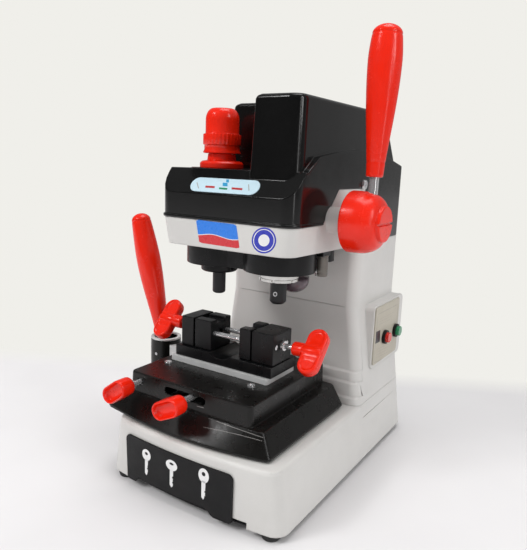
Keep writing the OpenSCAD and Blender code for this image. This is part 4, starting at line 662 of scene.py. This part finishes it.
def grip_ribs(r, z, a):
    if RIB_FROM < z < RIB_TO:
        return r + RIB_DEPTH * (0.5 + 0.5 * math.cos(RIB_COUNT * a)) - RIB_DEPTH
    return r


dome = []
for a in range(0, 91, 6):
    a = math.radians(a)
    dome.append((DOME_MIDDLE_R + DOME_WIDE * math.cos(a), DOME_BASE_Z + DOME_TALL * math.sin(a)))
bm = bmesh.new()
spun(bm, mm_points(KNOB_FOOT + dome + KNOB_TOP), 180, grip_ribs)
piece("tracer_knob_grip", bm, "red", "tracer_knob", angle=40, replaces=("tracer_knob",),
      place=Matrix.Translation((TRACER_X * MM, AXIS_Y * MM, 0)))


# ---------------------------------------------------------------- spindle nose, chuck and bearing sleeves
CUTTER_X = 46.2
NOTCH_TOP, NOTCH_INSIDE, NOTCH_DEPTH = 290.6 * MM, 20 * MM, 2.6 * MM
NOTCH_PITCH, NOTCH_WIDE, NOTCH_FROM = 60, 9, 20
RING = ((18.4, 286.5), (25.2, 286.5), (26.2, 287.2), (26.2, 290.5), (25.0, 290.9), (25.0, 291.6),
        (27.0, 292.0), (27.0, 297.2), (26.4, 298.0), (25.0, 298.4), (25.0, 300.0), (18.4, 300.0),
        (18.4, 286.5))
CHUCK_R, CHUCK_NOSE, CHUCK_TOP, CHUCK_NIP, CHUCK_BORE_R = 11.3, 254.5, 299.0, 3.2, 3.2
CHUCK = ((0, CHUCK_NOSE + 6), (CHUCK_BORE_R, CHUCK_NOSE + 6), (CHUCK_BORE_R, CHUCK_NOSE + 0.4),
         (CHUCK_R - CHUCK_NIP - 1.2, CHUCK_NOSE), (CHUCK_R - CHUCK_NIP, CHUCK_NOSE + 0.3),
         (CHUCK_R - 0.4, CHUCK_NOSE + CHUCK_NIP), (CHUCK_R, CHUCK_NOSE + CHUCK_NIP + 1),
         (CHUCK_R, CHUCK_TOP - 0.5), (CHUCK_R - 0.5, CHUCK_TOP), (0, CHUCK_TOP))
GUIDE_X, GUIDE_Y = 93, -41
GUIDE_SLEEVE = ((5.2, 293.5), (6.9, 293.5), (7.5, 294.1), (7.5, 297.4), (7.1, 297.8), (7.1, 298.6),
                (7.5, 299.0), (7.5, 318.0), (7.1, 318.4), (7.1, 319.2), (7.5, 319.6), (7.5, 322.0),
                (5.2, 322.0), (5.2, 293.5))


def notches(r, z, a):
    """Spanner notches in the lower edge of the retaining ring."""
    if z < NOTCH_TOP and r > NOTCH_INSIDE and (math.degrees(a) + NOTCH_FROM) % NOTCH_PITCH < NOTCH_WIDE:
        return r - NOTCH_DEPTH
    return r


bm = bmesh.new()
spun(bm, mm_points(RING), 160, notches)
bmesh.ops.remove_doubles(bm, verts=bm.verts, dist=0.01 * MM)
piece("spindle_ring", bm, "polished", "carriage", angle=30, replaces=("retaining_ring",),
      place=Matrix.Translation((CUTTER_X * MM, AXIS_Y * MM, 0)))
bm = bmesh.new()
spun(bm, mm_points(CHUCK), 72)
piece("spindle_chuck", bm, "dark", "spindle", angle=30, replaces=("chuck",),
      place=Matrix.Translation((CUTTER_X * MM, AXIS_Y * MM, 0)))
for s, name in ((1, "right"), (-1, "left")):
    bm = bmesh.new()
    spun(bm, mm_points(GUIDE_SLEEVE), 48)
    bmesh.ops.remove_doubles(bm, verts=bm.verts, dist=0.01 * MM)
    piece(f"{name}_bearing_sleeve", bm, "sleeve", "carriage",
          place=Matrix.Translation((s * GUIDE_X * MM, GUIDE_Y * MM, 0)))


# ---------------------------------------------------------------- pieces laid on a surface by photo pixel
for key, colour, rough in (
        ("ink_red", (0.42, 0.02, 0.02), 0.35),
        ("ink_green", (0.01, 0.22, 0.09), 0.35),
        ("ink_cyan", (0.02, 0.28, 0.52), 0.35),
        ("ink_blue", (0.01, 0.19, 0.74), 0.28),
        ("ink_navy", (0.02, 0.03, 0.42), 0.28),
        ("ink_red_gloss", (0.60, 0.02, 0.03), 0.28),
        ("ink_white", (0.80, 0.80, 0.80), 0.4),
        ("ink_dark", (0.03, 0.03, 0.035), 0.4),
        ("ink_grey", (0.30, 0.28, 0.25), 0.4)):
    M[key] = print_paint(key, colour, rough)
TREES = {}
# A sheet's rim is this many times as deep as the sheet is lifted
RIM_SINK = 1.2
# Angles of a bead's outline, the share of its size at its two ends, and how deep it is sunk in mm
BEAD_ANGLES = [math.radians(d) for d in (0, 30, 60, 90, 120, 150, 180, 270)]
BEAD_END, BEAD_SUNK = 0.3, 0.1


def hit(node, px, py):
    """Point and normal where the ray of a photo pixel meets a CAD node or a piece, or None twice."""
    o = NODES[node] if node in NODES else bpy.data.objects[node]
    if node not in TREES:
        TREES[node] = BVHTree.FromObject(o, bpy.context.evaluated_depsgraph_get())
    ray = fwd * FOCAL_PX + cam_x * (px - WIDE_PX / 2) - cam_y * (py - TALL_PX / 2)
    back = o.matrix_world.inverted()
    place, normal, _, _ = TREES[node].ray_cast(back @ EYE, (back.to_3x3() @ ray).normalized())
    if place is None:
        return None, None
    return o.matrix_world @ place, (o.matrix_world.to_3x3() @ normal).normalized()


def sheet(name, key, node, pixel, nu, nv, lift=0.25, body="machine"):
    """A thin printed sheet, lift mm off a node. pixel(u, v) gives the photo pixel of each point."""
    bm = bmesh.new()
    rows = []
    for j in range(nv + 1):
        row = []
        for i in range(nu + 1):
            place, normal = hit(node, *pixel(i / nu, j / nv))
            row.append(None if place is None else bm.verts.new(place + normal * lift * MM))
        rows.append(row)
    for lo, hi in zip(rows, rows[1:]):
        for k in range(nu):
            corners = (lo[k], lo[k + 1], hi[k + 1], hi[k])
            if None not in corners:
                bm.faces.new(corners)
    if not bm.faces:
        bm.free()
        return
    bmesh.ops.remove_doubles(bm, verts=bm.verts, dist=0.01 * MM)
    # the rim goes down into the surface, so that no gap shows under the sheet
    _, facing = hit(node, *pixel(0.5, 0.5))
    sink = (facing if facing is not None else -fwd) * -lift * RIM_SINK * MM
    rim = [e for e in bm.edges if e.is_boundary]
    sunk = {}
    for edge in rim:
        for v in edge.verts:
            if v not in sunk:
                sunk[v] = bm.verts.new(v.co + sink)
    for edge in rim:
        a, b = edge.verts
        bm.faces.new((a, b, sunk[b], sunk[a]))
    piece(name, bm, key, body, False)


def quad(tl, tr, br, bl):
    """pixel(u, v) of a four-cornered patch."""
    def at(u, v):
        return tuple((tl[k] * (1 - u) + tr[k] * u) * (1 - v) + (bl[k] * (1 - u) + br[k] * u) * v
                     for k in (0, 1))
    return at


def disc(cx, cy, rx, ry, inner=0.0):
    """pixel(u, v) of a round patch, or of a ring from the share inner of its radius outwards."""
    def at(u, v):
        a = 2 * math.pi * u
        q = inner + (1 - inner) * v
        return cx + rx * q * math.cos(a), cy + ry * q * math.sin(a)
    return at


def bead(name, key, node, points, wide, high, body="machine", steps=10):
    """A half-round bead on a node, along a line of photo pixels; wide and high in mm."""
    track = []
    for (ax, ay), (bx, by) in zip(points, points[1:]):
        track += [(ax + (bx - ax) * i / steps, ay + (by - ay) * i / steps) for i in range(steps)]
    track.append(points[-1])
    spots = [q for q in (hit(node, *p) for p in track) if q[0] is not None]
    if len(spots) < 2:
        return
    bm = bmesh.new()
    rings = []
    last = len(spots) - 1
    for i, (place, normal) in enumerate(spots):
        run = (spots[min(i + 1, last)][0] - spots[max(i - 1, 0)][0]).normalized()
        across = normal.cross(run).normalized()
        size = MM * (BEAD_END if i in (0, last) else 1.0)
        rings.append([])
        for a in BEAD_ANGLES:
            off = across * wide / 2 * math.cos(a) + normal * (high * math.sin(a) - BEAD_SUNK)
            rings[-1].append(bm.verts.new(place + off * size))
    for lo, hi in zip(rings, rings[1:]):
        band(bm, lo, hi)
    bm.faces.new(rings[0])
    bm.faces.new(rings[-1])
    piece(name, bm, key, body, angle=70)


# Marks of the control panel, as four corners each
PANEL_MARKS = (
    ("ink_red", (205.5, 185.6), (214.8, 186.2), (214.6, 188.2), (205.3, 187.6)),
    ("ink_green", (219.2, 187.4), (227.4, 188.0), (227.2, 189.8), (219.0, 189.2)),
    ("ink_red", (231.8, 187.4), (242.4, 188.2), (242.2, 190.2), (231.6, 189.4)),
    ("ink_cyan", (222.8, 182.6), (227.6, 183.0), (227.4, 186.4), (222.6, 186.0)),
    ("ink_cyan", (226.4, 179.4), (229.0, 179.6), (228.8, 182.6), (226.2, 182.4)),
    ("ink_grey", (196.6, 182.4), (197.4, 182.4), (199.0, 188.4), (198.2, 188.4)),
    ("ink_grey", (248.2, 184.4), (249.0, 184.4), (249.4, 190.6), (248.6, 190.6)))
for i, (key, *corners) in enumerate(PANEL_MARKS):
    sheet(f"panel_mark_{i}", key, "control_panel", quad(*corners), 6, 3, 0.12)

# Plain stickers on the head, without words or signs: a square one in two colours, parted by a wave,
# and a round one with a ring and a dot
STICKER = quad((196.0, 219.5), (236.2, 224.5), (239.6, 248.6), (199.4, 242.6))
ROUNDING = 0.07
WAVE_MIDDLE, WAVE_HIGH, WAVE_COUNT, WAVE_START = 0.60, 0.055, 1.1, 0.35
LINE_HIGH, LOW_END = 0.03, 0.97
STICKER_NU, STICKER_NV = 28, 16


def sticker(u, v):
    """Photo pixel of the sticker's point, its corners rounded."""
    near = min(v, 1 - v)
    pull = 0.0
    if near < ROUNDING:
        pull = ROUNDING - math.sqrt(max(0.0, ROUNDING ** 2 - (ROUNDING - near) ** 2))
    return STICKER(0.5 + (u - 0.5) * (1 - 2 * pull), v)


def wave(u):
    return WAVE_MIDDLE + WAVE_HIGH * math.sin(2 * math.pi * (u * WAVE_COUNT + WAVE_START))


def sticker_top(u, v):
    return sticker(u, v * wave(u))


def sticker_line(u, v):
    return sticker(u, wave(u) + LINE_HIGH * v)


def sticker_low(u, v):
    return sticker(u, wave(u) + LINE_HIGH + (LOW_END - wave(u)) * v)


sheet("sticker_top", "ink_blue", "column_casting", sticker_top, STICKER_NU, STICKER_NV)
sheet("sticker_low", "ink_red_gloss", "column_casting", sticker_low, STICKER_NU, STICKER_NV)
sheet("sticker_line", "ink_white", "column_casting", sticker_line, STICKER_NU, 1)
ROUND_STICKER = (264.0, 240.4)
for name, key, nu, nv, slot, lift, size in (
        ("round_sticker", "ink_navy", 48, 8, "panel_blue", 0.2, (12.2, 13.0)),
        ("round_sticker_ring", "ink_white", 48, 1, "light_metal", 0.3, (10.6, 11.4, 0.93)),
        ("round_sticker_dot", "ink_white", 32, 4, "light_metal", 0.3, (5.6, 6.0))):
    sheet(name, key, "column_casting", disc(*ROUND_STICKER, *size), nu, nv, lift)

# Dark ring round the cover screw beside the hub
sheet("cover_screw_ring", "ink_dark", "column_casting", disc(363.2, 183.8, 5.0, 6.6, 0.62), 32, 1,
      0.2)

# Switch plate: printed border, faint lines and a bare label
PLATE = quad((377.0, 312.5), (399.6, 300.8), (396.4, 354.6), (371.6, 366.6))
BORDER = ((0.06, 0.05), (0.94, 0.05), (0.94, 0.95), (0.06, 0.95))
LINES_V = (0.16, 0.21, 0.26, 0.72, 0.77, 0.82, 0.87)
LINES_FROM, LINES_TO, LINES_STEP = 0.16, 0.80, 0.07
for i, start in enumerate(BORDER):
    end = BORDER[(i + 1) % len(BORDER)]
    bead(f"plate_border_{i}", "ink_grey", "switch_plate", [PLATE(*start), PLATE(*end)], 0.7, 0.25,
         steps=12)
for i, v in enumerate(LINES_V):
    line = [PLATE(LINES_FROM, v), PLATE(LINES_TO - LINES_STEP * (i % 3), v)]
    bead(f"plate_line_{i}", "ink_grey", "switch_plate", line, 0.35, 0.2, steps=8)
sheet("plate_label", "ink_dark", "switch_plate",
      quad((376.2, 332.0), (380.2, 330.0), (379.6, 341.6), (375.4, 343.8)), 4, 6, 0.2)

# Crease across the column's front, the pressed lips of the table cover, and the lip of its slot; the lips are
# beads in a light grey that is a painted highlight along these edges
CREASE = ((240, 288), (275, 294), (310, 300.5), (345, 307))
TABLE_LIPS = (((203, 427), (220, 430.5), (240, 435), (264, 441.5)),
              ((216, 421), (232, 427), (248, 432.5), (264, 438)))
SLOT_LIP = ((196.5, 406), (204, 408))
bead("column_crease", "grey", "column_casting", CREASE, 1.6, 0.5)
for i, line in enumerate(TABLE_LIPS):
    bead(f"table_lip_{i}", "wear_and_glint", "table_cover", line, 0.55, 0.25, "table")
bead("slot_lip_1", "wear_and_glint", "table_cover", SLOT_LIP, 0.7, 0.3, "table")

# Set screw of the chuck
sheet("chuck_screw_rim", "steel", "spindle_chuck", disc(275.2, 294.2, 2.0, 2.3, 0.62), 24, 1,
      0.3, "spindle")


# ---------------------------------------------------------------- key marks on the front plate
# A mark is drawn about 30 units tall, about its middle
KEY_UNITS = 30
KEY_SUNK, KEY_HIGH = -0.05 * MM, 0.25 * MM
BOW_STEPS, BOW_Y, EYE_Y = 40, 8, 9.5
SHANK_R, SHANK_TOP, SHANK_END, SHANK_TIP = 2.1, 3.0, -13.0, -15.0
TOOTH_PITCH, TOOTH_FLAT, TOOTH_SLOPE = 2.6, 1.3, 1.0


def ellipse(rx, ry, cy):
    turns = [2 * math.pi * i / BOW_STEPS for i in range(BOW_STEPS)]
    return [(rx * math.cos(a), cy + ry * math.sin(a)) for a in turns]


def key_mark(name, px, py, tall, cuts, bow, eye):
    """A plain key shape, tall in mm, bow up, laid on the front plate at a photo pixel."""
    middle, normal = hit("name_plate", px, py)
    across = Vector((0, 0, 1)).cross(normal)
    k = tall / KEY_UNITS * MM
    bm = bmesh.new()
    outer, inner = ellipse(*bow, BOW_Y), ellipse(*eye, EYE_Y)
    rings = [[bm.verts.new((x * k, y * k, z)) for x, y in ring]
             for ring, z in ((outer, KEY_HIGH), (inner, KEY_HIGH), (inner, KEY_SUNK), (outer, KEY_SUNK))]
    for lo, hi in zip(rings, rings[1:] + rings[:1]):
        band(bm, lo, hi)
    shank = [(-SHANK_R, SHANK_TOP), (-SHANK_R, SHANK_END), (0.0, SHANK_TIP)]
    y = SHANK_END
    for cut in cuts:
        x = SHANK_R - cut
        shank += [(x, y), (x, y + TOOTH_FLAT), (SHANK_R, y + TOOTH_FLAT + TOOTH_SLOPE)]
        y += TOOTH_PITCH
    shank.append((SHANK_R, SHANK_TOP))
    slab(bm, [(a * k, b * k) for a, b in shank], KEY_SUNK, KEY_HIGH)
    piece(name, bm, "ink_white", "machine", False, place=frame_at(middle, across, (0, 0, 1)))


key_mark("key_mark_left", 146.5, 462, 38, (0.9, 0.2, 1.3, 0.6), (6.2, 6.2), (2.3, 1.7))
key_mark("key_mark_middle", 171.5, 473, 40, (0.3, 1.2, 0.5, 1.4), (7.2, 5.4), (2.8, 1.3))
key_mark("key_mark_right", 203.5, 484, 42, (1.1, 0.4, 0.9, 0.2), (5.6, 6.8), (2.0, 2.0))


# ---------------------------------------------------------------- floor, world and lamps
WALL = (0.871, 0.863, 0.823)
FLOOR_LOW, FLOOR_HIGH = (0.69, 0.68, 0.685), (0.72, 0.71, 0.715)
FLOOR_HALF = 9
# For the camera the floor turns into the wall beyond the line y = WALL_Y + WALL_RISE * x, in metres
WALL_Y, WALL_RISE, WALL_FADE = 0.3683, 0.5394, 0.10
g = Material("pale_floor")
g.tree.nodes.remove(g.bsdf)
diffuse = g.add("BsdfDiffuse")
g.link(g.mix(g.remap(g.noise(3, 3), 0.35, 0.65, 0, 1), FLOOR_LOW, FLOOR_HIGH), diffuse.inputs[0])
glow = g.add("Emission")
g.feed(WALL, glow.inputs[0])
parts = g.add("SeparateXYZ")
g.link(g.add("NewGeometry").outputs["Position"], parts.inputs[0])
past = g.math("SUBTRACT", parts.outputs["Y"], g.math("MULTIPLY", parts.outputs["X"], WALL_RISE))
fade = g.remap(past, WALL_Y - WALL_FADE / 2, WALL_Y + WALL_FADE / 2, 0.0, 1.0)
seen_fade = g.math("MULTIPLY", fade, g.add("LightPath").outputs["Is Camera Ray"])
g.link(g.blend(seen_fade, diffuse.outputs[0], glow.outputs[0]), g.out.inputs[0])
floor_mesh = bpy.data.meshes.new("floor")
bm = bmesh.new()
for x, y in ((-1, -1), (1, -1), (1, 1), (-1, 1)):
    bm.verts.new((x * FLOOR_HALF, y * FLOOR_HALF, 0))
bm.faces.new(bm.verts)
bm.to_mesh(floor_mesh)
bm.free()
floor = bpy.data.objects.new("floor", floor_mesh)
floor_mesh.materials.append(g.mat)
scene.collection.objects.link(floor)

# World: even light for the surfaces, the wall's colour for the camera, and for reflections a room
# that is light towards the wall and above, and dark behind the camera
ROOM_DARK, ROOM_WALL, ROOM_ABOVE = 0.05, 0.30, 0.16
SKY_LEVEL = 0.62
SMOOTH = "SMOOTHSTEP"
WHITE = (1, 1, 1)
world = bpy.data.worlds.new("studio")
scene.world = world
world.use_nodes = True
sky = Graph(world.node_tree)
heading = sky.add("SeparateXYZ")
sky.link(sky.add("TexCoord").outputs["Generated"], heading.inputs[0])
room = sky.math("ADD", sky.remap(heading.outputs["Y"], -0.15, 0.75, ROOM_DARK, ROOM_WALL, SMOOTH),
                sky.remap(heading.outputs["Z"], 0.25, 0.95, 0.0, ROOM_ABOVE, SMOOTH))
path = sky.add("LightPath")
mirrored = sky.math("MAXIMUM", path.outputs["Is Glossy Ray"], path.outputs["Is Transmission Ray"])
shaders = []
for colour, level in ((WHITE, SKY_LEVEL), (WHITE, room), (WALL, 1.0)):
    back = sky.add("Background")
    sky.feed(colour, back.inputs[0])
    sky.feed(level, back.inputs[1])
    shaders.append(back.outputs[0])
shader = sky.blend(mirrored, shaders[0], shaders[1])
shader = sky.blend(path.outputs["Is Camera Ray"], shader, shaders[2])
sky.link(shader, sky.add("OutputWorld").inputs[0])


def lamp(name, place, target, size, power, in_mirrors=True):
    """A rectangular area lamp, in metres and watts."""
    data = bpy.data.lights.new(name, "AREA")
    data.shape = "RECTANGLE"
    data.size = size[0]
    data.size_y = size[1]
    data.energy = power
    o = bpy.data.objects.new(name, data)
    scene.collection.objects.link(o)
    o.location = place
    o.visible_glossy = in_mirrors
    o.rotation_mode = "QUATERNION"
    o.rotation_quaternion = (Vector(target) - Vector(place)).to_track_quat("-Z", "Y")


# The key lamp lights surfaces only: the smaller spark beside it makes the highlights
lamp("key", (-1.9, -3.1, 3.1), (0, 0, 0.25), (1.6, 1.6), 74, False)
lamp("spark", (-2.1, -3.0, 3.2), (0, 0, 0.25), (0.6, 0.8), 26)
lamp("strip", (2.6, -1.0, 0.9), (0.1, -0.1, 0.35), (0.22, 1.5), 5)
lamp("right", (3.8, -0.4, 2.3), (0, 0, 0.25), (0.8, 2.0), 34)
lamp("top", (0.2, 0.4, 4.0), (0, 0, 0.2), (2.2, 2.2), 58)

bpy.context.view_layer.update()
